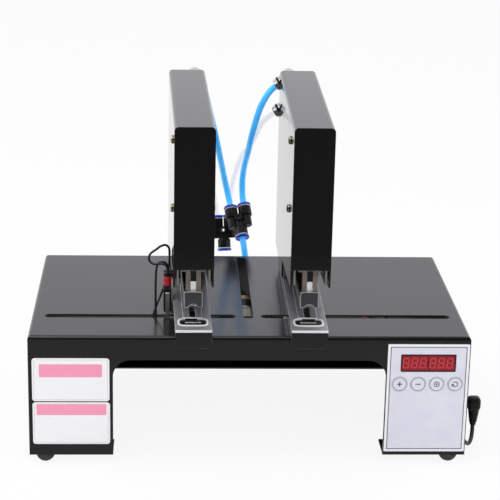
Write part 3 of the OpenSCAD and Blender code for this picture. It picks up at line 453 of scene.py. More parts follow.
def circuitBoard(name):
    bench = newBench(name)
    depth = bench.reach("Y", shellLow.y)
    fitted = (depth > board["rear"]).highest(depth < board["front"])
    tracks = bench.add("ShaderNodeTexBrick", {"offset": 0.37}, {
        "Vector": bench.spot(), "Scale": 120, "Mortar Size": 0.05,
        "Color1": (0.02, 0.17, 0.06, 1), "Color2": (0.015, 0.14, 0.05, 1), "Mortar": (0.08, 0.3, 0.11, 1),
    }, "Color")
    grain = bench.noise(1500)
    bench.surface({
        "Base Color": bench.tint(fitted, tracks, (0.02, 0.02, 0.022)),
        "Roughness": 0.32 + 0.2 * grain,
        "Normal": bench.bump(grain, 0.1, 0.03, bench.softEdge(0.3)),
    })


# valve coil: nickel ring, black winding cover, brass flange and nut, one after the other along Y
coil = {"ringEnd": 117, "brassStart": 138}


def coilCover(name):
    bench = newBench(name)
    depth = bench.reach("Y", shellLow.y)
    ring = depth < coil["ringEnd"]
    nut = depth > coil["brassStart"]
    grain = bench.noise(1400)
    black = bench.tint(grain, (0.012, 0.012, 0.013), (0.022, 0.022, 0.023))
    base = bench.tint(ring, black, (0.62, 0.6, 0.57))
    bench.surface({
        "Base Color": bench.tint(nut, base, (0.8, 0.56, 0.24)),
        "Metallic": ring.highest(nut) * 0.5,
        "Roughness": 0.28 + 0.2 * grain,
        "Normal": bench.bump(grain, 0.1, 0.03, bench.softEdge(0.4)),
    })


glossPaint("black_paint", (0.0032, 0.0032, 0.0036), (0.06, 0.06, 0.065), 0.01, 0.35)
glossPaint("table_paint", (0.0036, 0.0036, 0.004), (0.06, 0.06, 0.065), 0.17, 0.35)
glossPaint("satin_black", (0.0035, 0.0035, 0.004), (0.2, 0.195, 0.19), 0.1, 0.8)
softRubber("grey_rubber", (0.035, 0.035, 0.045), (0.07, 0.07, 0.08))
softRubber("black_rubber", (0.012, 0.012, 0.013), (0.03, 0.03, 0.032))
panelFilm("grey_panel", True)
panelFilm("key_film", False)
redFilter("red_display")
circuitBoard("green_board")
coilCover("coil_cover")
mouldedPlastic("beige_plastic", (0.66, 0.61, 0.49), (0.74, 0.7, 0.6), 0.36)
mouldedPlastic("black_plastic", (0.0085, 0.0085, 0.0095), (0.017, 0.017, 0.019), 0.34, shine=0.25)
mouldedPlastic("blue_plastic", (0.026, 0.06, 0.70), (0.05, 0.1, 0.8), 0.22)
mouldedPlastic("white_plastic", (0.8, 0.8, 0.8), (0.86, 0.86, 0.86), 0.3)
mouldedPlastic("red_sleeve", (0.50, 0.012, 0.025), (0.62, 0.03, 0.05), 0.25)
mouldedPlastic("wire_red", (0.58, 0.015, 0.02), (0.66, 0.05, 0.05), 0.28)
mouldedPlastic("wire_blue", (0.02, 0.06, 0.42), (0.04, 0.1, 0.5), 0.28)
mouldedPlastic("wire_black", (0.009, 0.009, 0.011), (0.02, 0.02, 0.024), 0.24)
mouldedPlastic("lead_black", (0.011, 0.011, 0.012), (0.024, 0.024, 0.026), 0.4)
# the blue hose glows: a painted glow standing for light passing through it
drawnHose("blue_hose", (0.075, 0.47, 0.96), (0.06, 0.42, 0.92), 0, 0.1, 0.5)
drawnHose("clear_hose", (0.76, 0.77, 0.96), (0.70, 0.72, 0.92), 0, 0.12, 0, 0.1)
drawnHose("white_hose", (0.84, 0.86, 0.88), (0.78, 0.8, 0.84), 0.3, 0.22)
grainedMetal("steel", (0.60, 0.585, 0.57), (0.42, 0.40, 0.385), 0.2, (1500, 60, 1500))
for side, head in heads.items():
    anvilPlating(head["body"] + "_anvil", side)
    ramSteel(head["body"] + "_ram_steel", side)
# nose and magazine steel: a painted highlight in near white along their edges
grainedMetal("nose_steel", (0.2, 0.2, 0.21), (0.14, 0.14, 0.145), 0.3, (1500, 1500, 70), 0.1, 0.9, 1.0,
             (0.97, 0.97, 0.97))
grainedMetal("magazine_steel", (0.5, 0.49, 0.48), (0.36, 0.35, 0.34), 0.22, (1500, 60, 1500), 0.1, 0.6,
             0.8, (0.97, 0.97, 0.97))
grainedMetal("zinc", (0.8, 0.79, 0.76), (0.7, 0.69, 0.66), 0.35, (60, 1500, 1500), 0.1, 0.3, 0.25)
grainedMetal("chrome", (0.78, 0.78, 0.8), (0.62, 0.62, 0.64), 0.1, (1200, 50, 1200), 0.06)
grainedMetal("nickel", (0.68, 0.67, 0.65), (0.48, 0.46, 0.44), 0.12, (300, 1500, 300), 0.05)
grainedMetal("dark_steel", (0.2, 0.195, 0.2), (0.12, 0.115, 0.115), 0.28, (1500, 1500, 70))
grainedMetal("aluminium", (0.74, 0.75, 0.77), (0.6, 0.61, 0.63), 0.26, (60, 1500, 1500))
grainedMetal("brass", (0.56, 0.48, 0.33), (0.28, 0.23, 0.15), 0.2, (900, 900, 900), 0.1)
plainInk("sticker", (0.84, 0.84, 0.84), 0, 0.3)
plainInk("pink_ink", (0.88, 0.31, 0.45), 0, 0.3)
plainInk("pale_ink", (0.58, 0.5, 0.54), 0, 0.3)
plainInk("dark_ink", (0.055, 0.055, 0.07))
plainInk("lit_segment", (0.50, 0.026, 0.038), 0.14)
print("finishes made:", len(finishes))

# finishes of the solids that stay, on the table and on each head
tableFinishes = {
    "table_shell": "table_paint", "rear_panel": "table_paint", "control_panel": "grey_panel",
    "key_plus": "key_film", "key_minus": "key_film", "key_set": "key_film", "key_reset": "key_film",
    "display_modules": "red_display", "control_board": "green_board", "valve_body": "beige_plastic",
    "valve_coil": "coil_cover", "air_fittings": "nickel", "switch_body": "black_plastic",
    "switch_bracket": "steel", "switch_lever": "steel",
}
headFinishes = {
    "cover": "black_paint", "front_plate": "black_paint", "arm_base": "satin_black", "elbows": "nickel",
    "frame": "steel", "magazine": "magazine_steel", "clamp": "zinc", "nose_plate": "nose_steel",
    "piston_rod": "chrome", "pusher": "dark_steel", "cylinder": "aluminium",
}


def dress(nodeName, finishName):
    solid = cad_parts[nodeName].data
    solid.materials.clear()
    solid.materials.append(finishes[finishName])


for nodeName, finishName in tableFinishes.items():
    dress(nodeName, finishName)
for body in ("left", "right"):
    for part, finishName in headFinishes.items():
        dress(body + "_" + part, finishName)
    dress(body + "_anvil_plate", body + "_anvil")
    dress(body + "_ram", body + "_ram_steel")


# mesh makers, in table millimetres
def settled(mesh, name):
    bmesh.ops.recalc_face_normals(mesh, faces=mesh.faces)
    mesh.transform(toRow)
    data = bpy.data.meshes.new(name)
    mesh.to_mesh(data)
    mesh.free()
    return data


def makePiece(mesh, name, finish, body="table", sharp=35, stands=()):
    data = settled(mesh, name)
    data.shade_smooth()
    data.set_sharp_from_angle(angle=radians(sharp))
    data.materials.append(finishes[finish])
    piece = linked(name, data)
    if body:
        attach(piece, body)
    if stands:
        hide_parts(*stands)
    return piece


def circle(sides):
    turns = [2 * pi * k / sides for k in range(sides)]
    return [(cos(t), sin(t)) for t in turns]


# faces between two rings of points; a ring may be a single point
def skin(mesh, first, second):
    for k in range(max(len(first), len(second))):
        n = k + 1
        corners = [first[k % len(first)], first[n % len(first)],
                   second[n % len(second)], second[k % len(second)]]
        corners = list(dict.fromkeys(corners))
        if len(corners) > 2:
            mesh.faces.new(corners)


def closeLoops(mesh, loops):
    for first, second in zip(loops, loops[1:] + loops[:1]):
        skin(mesh, first, second)


def smoothLine(points, steps):
    last = len(points) - 1

    def pace(i):
        if i == 1:
            return (points[1] - points[0]).normalized()
        if i == last - 1:
            return (points[last] - points[last - 1]).normalized()
        span = (points[i + 1] - points[i]).length + (points[i] - points[i - 1]).length
        return (points[i + 1] - points[i - 1]) / span

    line = [points[0]]
    for i in range(1, last - 1):
        a, b = points[i], points[i + 1]
        reach = (b - a).length
        for j in range(steps):
            u = j / steps
            line.append(a * (2 * u**3 - 3 * u**2 + 1) + b * (3 * u**2 - 2 * u**3)
                        + reach * (pace(i) * (u**3 - 2 * u**2 + u) + pace(i + 1) * (u**3 - u**2)))
    return line + [points[last - 1], points[last]]


def addTube(mesh, line, radius, sides, bore=0):
    ways = [(line[min(i + 1, len(line) - 1)] - line[max(i - 1, 0)]).normalized() for i in range(len(line))]
    up = ways[0].orthogonal().normalized()
    outer, inner = [], []
    for point, way in zip(line, ways):
        up = (up - up.dot(way) * way).normalized()
        beside = way.cross(up)
        for rings, size in ((outer, radius), (inner, bore)) if bore else ((outer, radius),):
            rings.append([mesh.verts.new(point + size * (c * up + s * beside)) for c, s in circle(sides)])
    if bore:
        closeLoops(mesh, outer + inner[::-1])
        return
    for first, second in zip(outer, outer[1:]):
        skin(mesh, first, second)
    for end in (0, -1):
        mesh.faces.new(outer[end])


def addLathe(mesh, profile, at, way, sides, closed=False):
    turn = Vector(way).normalized().to_track_quat("Z", "Y").to_matrix()
    rings = [[mesh.verts.new(Vector(at) + turn @ Vector((radius * c, radius * s, height)))
              for c, s in circle(sides if radius > 0 else 1)] for radius, height in profile]
    if closed:
        closeLoops(mesh, rings)
        return
    for first, second in zip(rings, rings[1:]):
        skin(mesh, first, second)


def addSlab(mesh, outline, back, front):
    rear = [mesh.verts.new((x, back, z)) for x, z in outline]
    face = [mesh.verts.new((x, front, z)) for x, z in outline]
    mesh.faces.new(rear)
    mesh.faces.new(face)
    skin(mesh, rear, face)
    return rear + face


def addFrame(mesh, outer, inner, back, front):
    closeLoops(mesh, [[mesh.verts.new((x, y, z)) for x, z in outline]
                      for outline, y in ((outer, back), (outer, front), (inner, front), (inner, back))])


def addBlock(mesh, low, high, radius, steps, place=None):
    low, high = Vector(low), Vector(high)
    made = bmesh.ops.create_cube(mesh, size=1)["verts"]
    for vert in made:
        vert.co = Vector([l + (c + 0.5) * (h - l) for c, l, h in zip(vert.co, low, high)])
    edges = list({edge for vert in made for edge in vert.link_edges})
    made = bmesh.ops.bevel(mesh, geom=edges, offset=radius, segments=steps, profile=0.5,
                           affect="EDGES")["verts"]
    if place:
        bmesh.ops.transform(mesh, matrix=place, verts=made)


def roundOutline(low, high, radius, steps=6):
    centres = [(high[0] - radius, high[1] - radius, 0), (low[0] + radius, high[1] - radius, 90),
               (low[0] + radius, low[1] + radius, 180), (high[0] - radius, low[1] + radius, 270)]
    return [(x + radius * cos(radians(a + 90 * k / steps)),
             z + radius * sin(radians(a + 90 * k / steps)))
            for x, z, a in centres for k in range(steps + 1)]


def circleOutline(x, z, radius, steps=48):
    return [(x + radius * c, z + radius * s) for c, s in circle(steps)]


def crossOutline(x, z, bar, arm):
    corner = [(bar, -arm), (bar, -bar), (arm, -bar)]
    turns = [(1, 0), (0, 1), (-1, 0), (0, -1)]
    return [(x + c * u - s * v, z + s * u + c * v) for c, s in turns for u, v in corner]


def carve(piece, cutter):
    tool = linked("cutter", settled(cutter, "cutter"))
    change = piece.modifiers.new("carve", "BOOLEAN")
    change.object = tool
    change.solver = "EXACT"
    shaped = bpy.data.meshes.new_from_object(piece.evaluated_get(bpy.context.evaluated_depsgraph_get()))
    piece.modifiers.clear()
    piece.data = shaped
    bpy.data.objects.remove(tool)
    shaped.set_sharp_from_angle(angle=radians(35))


# air ports: a point on the port's face, then one 3 mm straight out
elbow = {"x": -7.5, "y": 215, "z": (175, 149), "reach": 14}
straight = 3
supplyY = {"at": (-0.4, 250, 133.2), "lean": radians(42), "tilt": radians(8)}
returnY = {"at": (-14.6, 274, 115), "lean": radians(18), "tilt": radians(3)}
yPorts = {"x": 6.6, "up": 12.5, "down": 18, "collar": 2.2, "turn": radians(-10)}


def elbowAt(side, index, along):
    a = radians(heads[side]["elbowTurns"][index])
    return headPoint(side, elbow["x"] - along * cos(a), elbow["y"],
                     elbow["z"][index] - along * sin(a))


def elbowPort(side, index):
    return [elbowAt(side, index, elbow["reach"] + r) for r in (0, straight)]


def yPoint(fitting, x, z):
    turn = (Matrix.Rotation(-fitting["lean"], 3, "X") @ Matrix.Rotation(-fitting["tilt"], 3, "Y")
            @ Matrix.Rotation(yPorts["turn"], 3, "Z"))
    return Vector(fitting["at"]) + turn @ Vector((x, 0, z))


def upperPort(fitting, side):
    return [yPoint(fitting, side * yPorts["x"], yPorts["up"] + yPorts["collar"] + r) for r in (0, straight)]


def lowerPort(fitting):
    return [yPoint(fitting, 0, -yPorts["down"] - yPorts["collar"] - r) for r in (0, straight)]


def port(at, way):
    return [Vector(at), Vector(at) + straight * Vector(way)]


# red crimp sleeves over the paper switch's two terminals, with the wires' exits above them
crimps = {"x": 19.9, "y": (52.2, 58.8), "low": 27, "high": 35.6, "radius": 3.1, "wireZ": 38.5}


def crimpPort(index):
    return port(headPoint(-1, crimps["x"], crimps["y"][index], crimps["wireZ"]), (0, 0, 1))


def boardPort(x, z):
    return port((x, board["wireY"], z), (0, 1, 0))


def route(start, after, before, end):
    return (start + [start[0] + Vector(p) for p in after] + [end[0] + Vector(p) for p in before]
            + [end[1], end[0]])


def sunk(line, first, last):
    head = line[0] + (line[0] - line[1]).normalized() * first
    tail = line[-1] + (line[-1] - line[-2]).normalized() * last
    return ([head] if first else []) + line + ([tail] if last else [])


def layCord(name, points, spec, stands=None):
    line = smoothLine(points, spec["steps"])
    mesh = bmesh.new()
    addTube(mesh, sunk(line, *spec["sunk"]), spec["diameter"] / 2, spec["sides"], spec["bore"] / 2)
    piece = makePiece(mesh, name, spec["finish"], None, 60)
    if "head" in spec:
        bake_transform(piece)
    else:
        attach(piece, "table")
    spec["diameter"] * mm
    if stands:
        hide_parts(stands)


airHose = {"diameter": 6, "bore": 4, "sides": 24, "steps": 8, "stiffness": "medium", "lay": "loose",
           "sunk": (4, 4)}
blueHose = {**airHose, "finish": "blue_hose", "slot": "blue_hose"}
clearHose = {**airHose, "finish": "clear_hose", "slot": "clear_hose"}
whiteHose = {**airHose, "finish": "white_hose", "slot": "white_hose"}
thinWire = {"diameter": 2, "bore": 0, "sides": 12, "steps": 8, "stiffness": "limp", "lay": "loose",
            "sunk": (0, 0)}
switchWire = {**thinWire, "steps": 6, "finish": "wire_black", "slot": "black_plastic",
              "head": -1, "fixed": (70, 100, 97), "moved": (-74, 56, 104)}

# from an elbow to a Y fitting: points from the first end, then points from the last end
hoseRoutes = {
    "supply_left_hose": (-1, 0, supplyY, blueHose,
                         [(7.3, 1.8, -22.9), (13.3, 7.4, -47.9)], [(-10.6, -17, 51), (-5.4, 5.6, 24)]),
    "supply_right_hose": (1, 0, supplyY, blueHose,
                          [(-13.6, -1.6, -17.8), (-21, -0.6, -42.4)], [(2.2, -29.5, 63), (-1.4, 3.2, 27)]),
    "return_left_hose": (-1, 1, returnY, clearHose,
                         [(1.4, 5, -24)], [(-16, -28, 64), (-4.5, 2, 27)]),
    "return_right_hose": (1, 1, returnY, clearHose,
                          [(-12, 3.6, -11.2), (-19.6, 17, -32)], [(9, -8, 58.4), (1.6, 5, 26)]),
}
for nodeName, (side, index, fitting, spec, after, before) in hoseRoutes.items():
    onElbow, onY = elbowPort(side, index), upperPort(fitting, side)
    layCord(nodeName + "_tube", route(onElbow, after, before, onY),
            {**spec, "head": side, "fixed": onY[0], "moved": onElbow[0]}, nodeName)

# the rest, with the node that each one replaces
innerRoutes = {
    "supply_trunk_tube": (
        lowerPort(supplyY), [(2.5, -9.7, -17.3)], [], port((6, 227, 72), (0, 0, 1)),
        blueHose, "supply_trunk"),
    "valve_outlet_hose": (
        port((-38, 97, 81), (-1, 0, 0)), [(-21, 8.5, 1), (-28, 29, 2.5), (-13, 53, 0)],
        [(-31, -38, 16), (-8, -21, 5)], port((6, 202, 58), (0, -1, 0)),
        {**whiteHose, "sunk": (4, 0)}, "inner_hoses"),
    "valve_inlet_hose": (
        port((60, 202, 58), (0, -1, 0)), [(1, -24, 1.5), (3.5, -52, 8.5)],
        [(30.5, 26, -4.5), (21, 7.5, -0.7)], port((32, 97, 81), (1, 0, 0)),
        {**whiteHose, "sunk": (0, 4)}, None),
    "valve_wire_red": (
        port((11, 130, 81), (1, 0, 0)), [(33, -10, 7), (68, -30, 13), (97, -48, 13.5)],
        [(-14.8, 48.4, 21.1), (-1.8, 18.4, 6.6)], boardPort(141.75, 70.4),
        {**thinWire, "finish": "wire_red", "slot": "wire_red"}, "valve_wires"),
    "valve_wire_blue": (
        port((11, 136, 81), (1, 0, 0)), [(38, -11, 5), (74, -28, 13), (104, -46, 13.8)],
        [(-17.8, 54.4, 21.6), (-1.2, 22.4, 6.6)], boardPort(151.75, 70.4),
        {**thinWire, "finish": "wire_blue", "slot": "wire_red"}, None),
    "switch_wire_front": (
        crimpPort(0),
        [(-1.3, 0.4, 6.2), (-4.5, 1.2, 7.5), (-8.5, 2.4, 6.8), (-12, 3.8, 6.6), (-14.9, 5.4, 8),
         (-16, 6.9, 11.2), (-14.4, 8.4, 14.4), (-9.6, 10.2, 17.6), (-5.8, 11.6, 20), (-2, 13, 20.6),
         (0.8, 14.2, 18.2), (1.6, 15, 13.6), (1.2, 15.4, 2), (-1.4, 14, -12), (-6.4, 9.4, -25),
         (-11, 3, -35), (-12.4, 0, -42), (-9.8, 2.6, -48.4), (-2.6, 7, -50.5), (14.4, 16, -50.5)],
        [(-144, 62.4, 21), (-94, 62.4, 21), (-34, 52.4, 19), (-2, 22, 6)], boardPort(123.75, 76.4),
        switchWire, "switch_wires"),
    "switch_wire_rear": (
        crimpPort(1),
        [(-1.3, 0.1, 6.2), (-4.5, 0.2, 7.5), (-7.7, 0.1, 6.2), (-9.2, -0.3, 2.5), (-9.8, -1, -4),
         (-10, -3, -16), (-9.8, -6.4, -31), (-9.2, -8.4, -42), (-6.4, -7, -49), (0.4, -3.4, -52.4),
         (17.6, 6, -52.5)],
        [(-138, 58.4, 23.5), (-88, 58.4, 23.5), (-28, 48.4, 22), (-1, 18, 6)], boardPort(117.75, 70.4),
        switchWire, None),
}
for name, (start, after, before, end, spec, stands) in innerRoutes.items():
    layCord(name, route(start, after, before, end), spec, stands)
print("hoses and wires laid")

# power lead: from the plug down to the floor, back along the right side, and into a tied coil
lead = {"diameter": 3.5, "floor": -6.2, "mid": (110, 278.5), "radius": 26.5, "pitch": 4.5, "layer": 4.2,
        "turns": 2.75, "climbTurns": 0.5, "stepsPerTurn": 36, "tail": 8, "inAdaptor": 46}
coilMid = Vector((*lead["mid"], 0))
coilTurns = 2 * lead["turns"] + lead["climbTurns"]


def coilPoint(t):
    inward = min(t, lead["turns"], coilTurns - t)
    radius = lead["radius"] - max(inward, 0) * lead["pitch"]
    climb = min(max((t - lead["turns"]) / lead["climbTurns"], 0), 1)
    climb = climb * climb * (3 - 2 * climb)
    a = radians(-90 - 360 * t)
    z = lead["floor"] + lead["layer"] * climb
    return coilMid + Vector((radius * cos(a), radius * sin(a), z))


coilStart = coilMid + Vector((lead["diameter"], -lead["radius"], lead["floor"]))
coilEnd = coilMid + Vector((lead["tail"] - lead["radius"], -lead["radius"], lead["floor"] + lead["layer"]))
coilSteps = range(int(coilTurns * lead["stepsPerTurn"]) + 1)
coilLine = [coilPoint(i / lead["stepsPerTurn"]) for i in coilSteps] + [coilEnd]
plugExit = Vector((194.5, 20, 19.5))
leadLine = smoothLine(
    port(plugExit, (0, 0, -1))
    + [plugExit + Vector(p) for p in ((-0.2, 2.8, -15.3), (-1, 10.4, -22.9), (-2.4, 24, -25.7))]
    + [Vector((x, y, lead["floor"])) for x, y in ((190.5, 60), (190.5, 120), (190, 190), (184.5, 228),
                                                  (160.5, 249), (139.5, 252))] + [coilStart], 8)
inAdaptor = coilEnd - Vector((lead["inAdaptor"], 0, 0))
leadPath = leadLine + coilLine + [coilEnd.lerp(inAdaptor, k / 4) for k in range(1, 5)]
leadMesh = bmesh.new()
addTube(leadMesh, leadPath, lead["diameter"] / 2, 12)
leadPiece = makePiece(leadMesh, "power_lead", "lead_black", sharp=60,
                      stands=["dc_lead", "dc_lead_coil"])

plug = {
    "neck": (184.6, 40), "body": ((188.6, 14.6, 33), (200, 25.4, 45.4)), "round": 3.6, "reliefTop": 34,
    "ribs": 4,
    "barrel": [(0, -9), (2.7, -9), (2.75, 0.9), (4.3, 0.9), (4.5, 1.2), (4.5, 6), (0, 6)],
}


# strain relief: ribs that narrow along the cord, each one (inward, rise) after the other
def ribs(count, low, pitch, radius, narrowing, shape):
    return [(radius - narrowing * k - inward, low + pitch * k + rise)
            for k in range(count) for inward, rise in shape]


def addPlug():
    mesh = bmesh.new()
    addLathe(mesh, plug["barrel"], (plug["neck"][0], plugExit.y, plug["neck"][1]), (1, 0, 0), 28)
    addBlock(mesh, *plug["body"], plug["round"], 6)
    tall = plug["reliefTop"] - plugExit.z
    profile = [(0, -1), (4.9, -1), (4.8, 0.6)]
    profile += ribs(plug["ribs"], 1.2, (tall - 3) / plug["ribs"], 4.7, 0.42,
                    [(0, 0), (0.06, 1.7), (0.75, 1.8), (0.8, 2.7)])
    profile += [(2.75, tall - 1.6), (2.5, tall), (0, tall)]
    addLathe(mesh, profile, (plugExit.x, plugExit.y, plug["reliefTop"]), (0, 0, -1), 28)
    return makePiece(mesh, "power_plug", "black_plastic", stands=["dc_plug"])


plugPiece = addPlug()
adaptor = {
    "low": (9.5, 232, -8), "high": (71.5, 272, 22), "round": 4, "seam": 38, "seamGap": 0.25,
    "core": Vector((8, 1, 1)), "ribs": 5, "ribStart": 6, "ribPitch": 2.6, "ribWide": 1.3, "ribInset": 7,
    "pinReach": 17, "pinGap": 6.4, "pinHalf": 0.8, "pinZ": (3.8, 10.2), "reliefRibs": 7, "relief": 20,
}


def addAdaptor():
    mesh = bmesh.new()
    low, high = Vector(adaptor["low"]), Vector(adaptor["high"])
    seam = low.x + adaptor["seam"]
    addBlock(mesh, low, (seam - adaptor["seamGap"], high.y, high.z), adaptor["round"], 5)
    addBlock(mesh, (seam + adaptor["seamGap"], low.y, low.z), high, adaptor["round"], 5)
    addBlock(mesh, low + adaptor["core"], high - adaptor["core"], 3, 4)
    for k in range(adaptor["ribs"]):
        x = seam + adaptor["ribStart"] + adaptor["ribPitch"] * k
        for y in (low.y, high.y):
            addBlock(mesh, (x, y - 0.5, low.z + adaptor["ribInset"]),
                     (x + adaptor["ribWide"], y + 0.5, high.z - adaptor["ribInset"]), 0.4, 2)
    body = makePiece(mesh, "adaptor_body", "black_plastic", stands=["power_adapter"])
    mesh = bmesh.new()
    bottom, top = adaptor["pinZ"]
    for side in (-1, 1):
        y, half = coilEnd.y + side * adaptor["pinGap"], adaptor["pinHalf"]
        addBlock(mesh, (low.x - adaptor["pinReach"], y - half, bottom), (low.x + 1, y + half, top), 0.55, 3)
    pins = makePiece(mesh, "adaptor_pins", "nickel")
    mesh = bmesh.new()
    profile = [(0, -1), (4, -1)]
    profile += ribs(adaptor["reliefRibs"], 0, 2.4, 4, 0.19, [(0, 0), (0.05, 1.3), (0.9, 1.4), (0.95, 2.3)])
    profile += [(2.6, adaptor["relief"] - 2.5), (2.4, adaptor["relief"]), (0, adaptor["relief"])]
    addLathe(mesh, profile, (high.x, coilEnd.y, coilEnd.z), (1, 0, 0), 24)
    relief = makePiece(mesh, "adaptor_relief", "black_rubber")
    return [body, pins, relief]


adaptorPieces = addAdaptor()

coilTie = {"angle": 60, "width": 3.2, "thick": 0.45, "inner": 13.4, "outer": 28.9, "low": -8.05, "high": 0.35,
           "round": 2.6, "knotAt": 24, "knot": ((-2.6, -1.9, 0), (2.6, 1.9, 2.4))}


def addTie():
    mesh = bmesh.new()
    a = radians(coilTie["angle"])
    out = Vector((cos(a), sin(a), 0))
    beside = Vector((-sin(a), cos(a), 0))
    loops = []
    for grow in (0, coilTie["thick"]):
        outline = roundOutline((coilTie["inner"] - grow, coilTie["low"] - grow * 0.1),
                               (coilTie["outer"] + grow, coilTie["high"] + grow), coilTie["round"] + grow)
        for edge in (-0.5, 0.5):
            start = coilMid + beside * edge * coilTie["width"]
            loops.append([mesh.verts.new(start + out * r + Vector((0, 0, z))) for r, z in outline])
    closeLoops(mesh, [loops[0], loops[1], loops[3], loops[2]])
    knot = Matrix.Translation(coilMid + out * coilTie["knotAt"] + Vector((0, 0, coilTie["high"])))
    addBlock(mesh, *coilTie["knot"], 0.6, 2, knot @ Matrix.Rotation(a, 4, "Z"))
    makePiece(mesh, "coil_tie", "black_plastic")


addTie()
print("power lead laid")

# Y fittings: stepped barrels with blind bores (radius, height) and an eye between them
yBody = {
    "upper": [(0, -8), (4.4, -8), (4.9, -7.4), (4.9, 1.4), (5.9, 2.2), (6.2, 2.8), (6.2, 11.5), (3.1, 11.5),
              (3.1, 2.9), (0, 2.9)],
    "lower": [(0, 2), (5, 2), (5, 8.4), (5.9, 9.2), (6.2, 9.8), (6.2, 17), (3.1, 17), (3.1, 6.5), (0, 6.5)],
    "eye": [(1.7, -6.8), (3.4, -6.8), (3.7, -6.5), (3.7, 5.9), (3.4, 6.2), (1.7, 6.2)],
}


def addYBody(name, fitting):
    mesh = bmesh.new()
    middle = yPoint(fitting, 0, 0)
    up = yPoint(fitting, 0, 1) - middle
    for side in (-1, 1):
        addLathe(mesh, yBody["upper"], yPoint(fitting, side * yPorts["x"], 0), up, 40)
    addLathe(mesh, yBody["lower"], middle, -up, 40)
    addLathe(mesh, yBody["eye"], middle, up.cross(yPoint(fitting, 1, 0) - middle), 32, True)
    makePiece(mesh, name + "_body", "black_plastic", sharp=30, stands=[name])


addYBody("supply_y", supplyY)
addYBody("return_y", returnY)

# release collars: a white ring under a dished blue collar at each port, the rim (radius, height) scaled to it
collar = {
    "ringRim": [(6.2, -1), (6.4, -0.7), (6.4, -0.1)], "ringBore": [(3.2, -0.1), (3.2, -1)],
    "rim": [(6.1, -0.1), (6.55, 0.2), (6.85, 0.9), (6.85, 1.6), (6.6, 2.2), (5.9, 2.45)],
    "dish": [(4.7, 2.2), (3.9, 1.8), (3.4, 1.7), (3.15, 1.6), (3.15, -0.1)], "upperSize": 0.96,
}


def addCollars():
    blue, white = bmesh.new(), bmesh.new()
    for fitting in (supplyY, returnY):
        spots = [(side * yPorts["x"], yPorts["up"], 1, collar["upperSize"]) for side in (-1, 1)]
        spots.append((0, -yPorts["down"], -1, 1))
        for x, z, way, size in spots:
            at = yPoint(fitting, x, z)
            up = yPoint(fitting, x, z + way) - at
            for mesh, rim, bore in ((white, "ringRim", "ringBore"), (blue, "rim", "dish")):
                addLathe(mesh, [(r * size, h) for r, h in collar[rim]] + collar[bore], at, up, 40, True)
    makePiece(blue, "release_collars_blue", "blue_plastic", sharp=50, stands=["release_collars"])
    makePiece(white, "release_collars_ring", "white_plastic", sharp=50)


addCollars()

# elbow fittings: a black seal band and a bright release ring at each outlet
elbowRings = {
    "bands": ("black_plastic", [(5.85, 9.2), (6.25, 9.35), (6.35, 9.8), (6.35, 10.7), (6.25, 11.15),
                                (5.85, 11.3)]),
    "lips": ("nickel", [(3.1, 13.9), (5.2, 13.9), (5.35, 14.2), (5.35, 15), (5.1, 15.35), (4.2, 15.4),
                        (3.1, 15)]),
}


def addElbowRings(side):
    name = heads[side]["body"]
    for part, (finish, profile) in elbowRings.items():
        mesh = bmesh.new()
        for index in (0, 1):
            at = elbowAt(side, index, 0)
            addLathe(mesh, profile, at, elbowAt(side, index, 1) - at, 40, True)
        makePiece(mesh, name + "_elbow_" + part, finish, name + "_head", 50)


# screws: pan heads (crown in shares of radius and height) with a cross recess
screw = {
    "headRadius": 3.5, "headHeight": 2.2, "recess": 1.25, "arm": 1.9, "slit": 0.75, "turn": radians(20),
    "crown": [(0.96, 0), (1, 0.12), (1, 0.4), (0.95, 0.62), (0.82, 0.82), (0.6, 0.95), (0.3, 1), (0, 1)],
}
coverScrews = {"x": 16.5, "y": 26, "z": (104, 162), "shank": 8, "scale": 1}
rearScrews = {"x": 177.5, "y": 216, "z": (18, 89), "shank": 6, "scale": 1.03}


def addScrew(mesh, cutter, at, way, shank, scale):
    r, h = screw["headRadius"] * scale, screw["headHeight"] * min(scale, 1)
    addLathe(mesh, [(0, -shank), (1.6, -shank), (2, -shank + 0.6), (2, 0)]
             + [(u * r, v * h) for u, v in screw["crown"]], at, way, 36)
    turn = Vector(way).normalized().to_track_quat("Z", "Y").to_matrix().to_4x4()
    place = Matrix.Translation(at) @ turn @ Matrix.Rotation(screw["turn"], 4, "Z")
    outline = crossOutline(0, 0, screw["slit"] / 2, screw["arm"] * scale)
    made = addSlab(cutter, outline, h - screw["recess"], h + 1)
    bmesh.ops.transform(cutter, matrix=place @ Matrix.Rotation(radians(90), 4, "X"), verts=made)


def addScrews(name, finish, body, stands, spec, spots):
    mesh, cutter = bmesh.new(), bmesh.new()
    for at, way in spots:
        addScrew(mesh, cutter, at, way, spec["shank"], spec["scale"])
    piece = makePiece(mesh, name, finish, None)
    carve(piece, cutter)
    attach(piece, body)
    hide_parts(stands)


for side, head in heads.items():
    addElbowRings(side)
    spots = []
    for flank in (-1, 1):
        way = headPoint(side, flank, slotY, 0) - headPoint(side, 0, slotY, 0)
        x, y = flank * coverScrews["x"], coverScrews["y"]
        spots += [(headPoint(side, x, y, z), way) for z in coverScrews["z"]]
    body = head["body"]
    addScrews(body + "_cover_screws", "brass", body + "_head", body + "_head_screws", coverScrews, spots)
spots = [(Vector((flank * rearScrews["x"], rearScrews["y"], z)), (0, 1, 0))
         for flank in (-1, 1) for z in rearScrews["z"]]
addScrews("rear_screws", "nickel", "table", "rear_panel_screws", rearScrews, spots)

# dome feet with a push-in stem, a rim and a moulding dimple
feet = {
    "x": 172, "y": (8.2, 205), "ball": 8.15, "drop": 0.45,
    "dome": (2.5, 3.3, 4.1, 4.9, 5.7, 6.5, 7.2, 7.7, 8),
    "stem": [(0, -3), (1.6, -3), (2, -2.6), (2, 0), (7.6, 0), (8, 0.4), (8, 1.9)],
    "dimple": [(2.2, 8), (1.8, 7.6), (0, 7.5)],
}


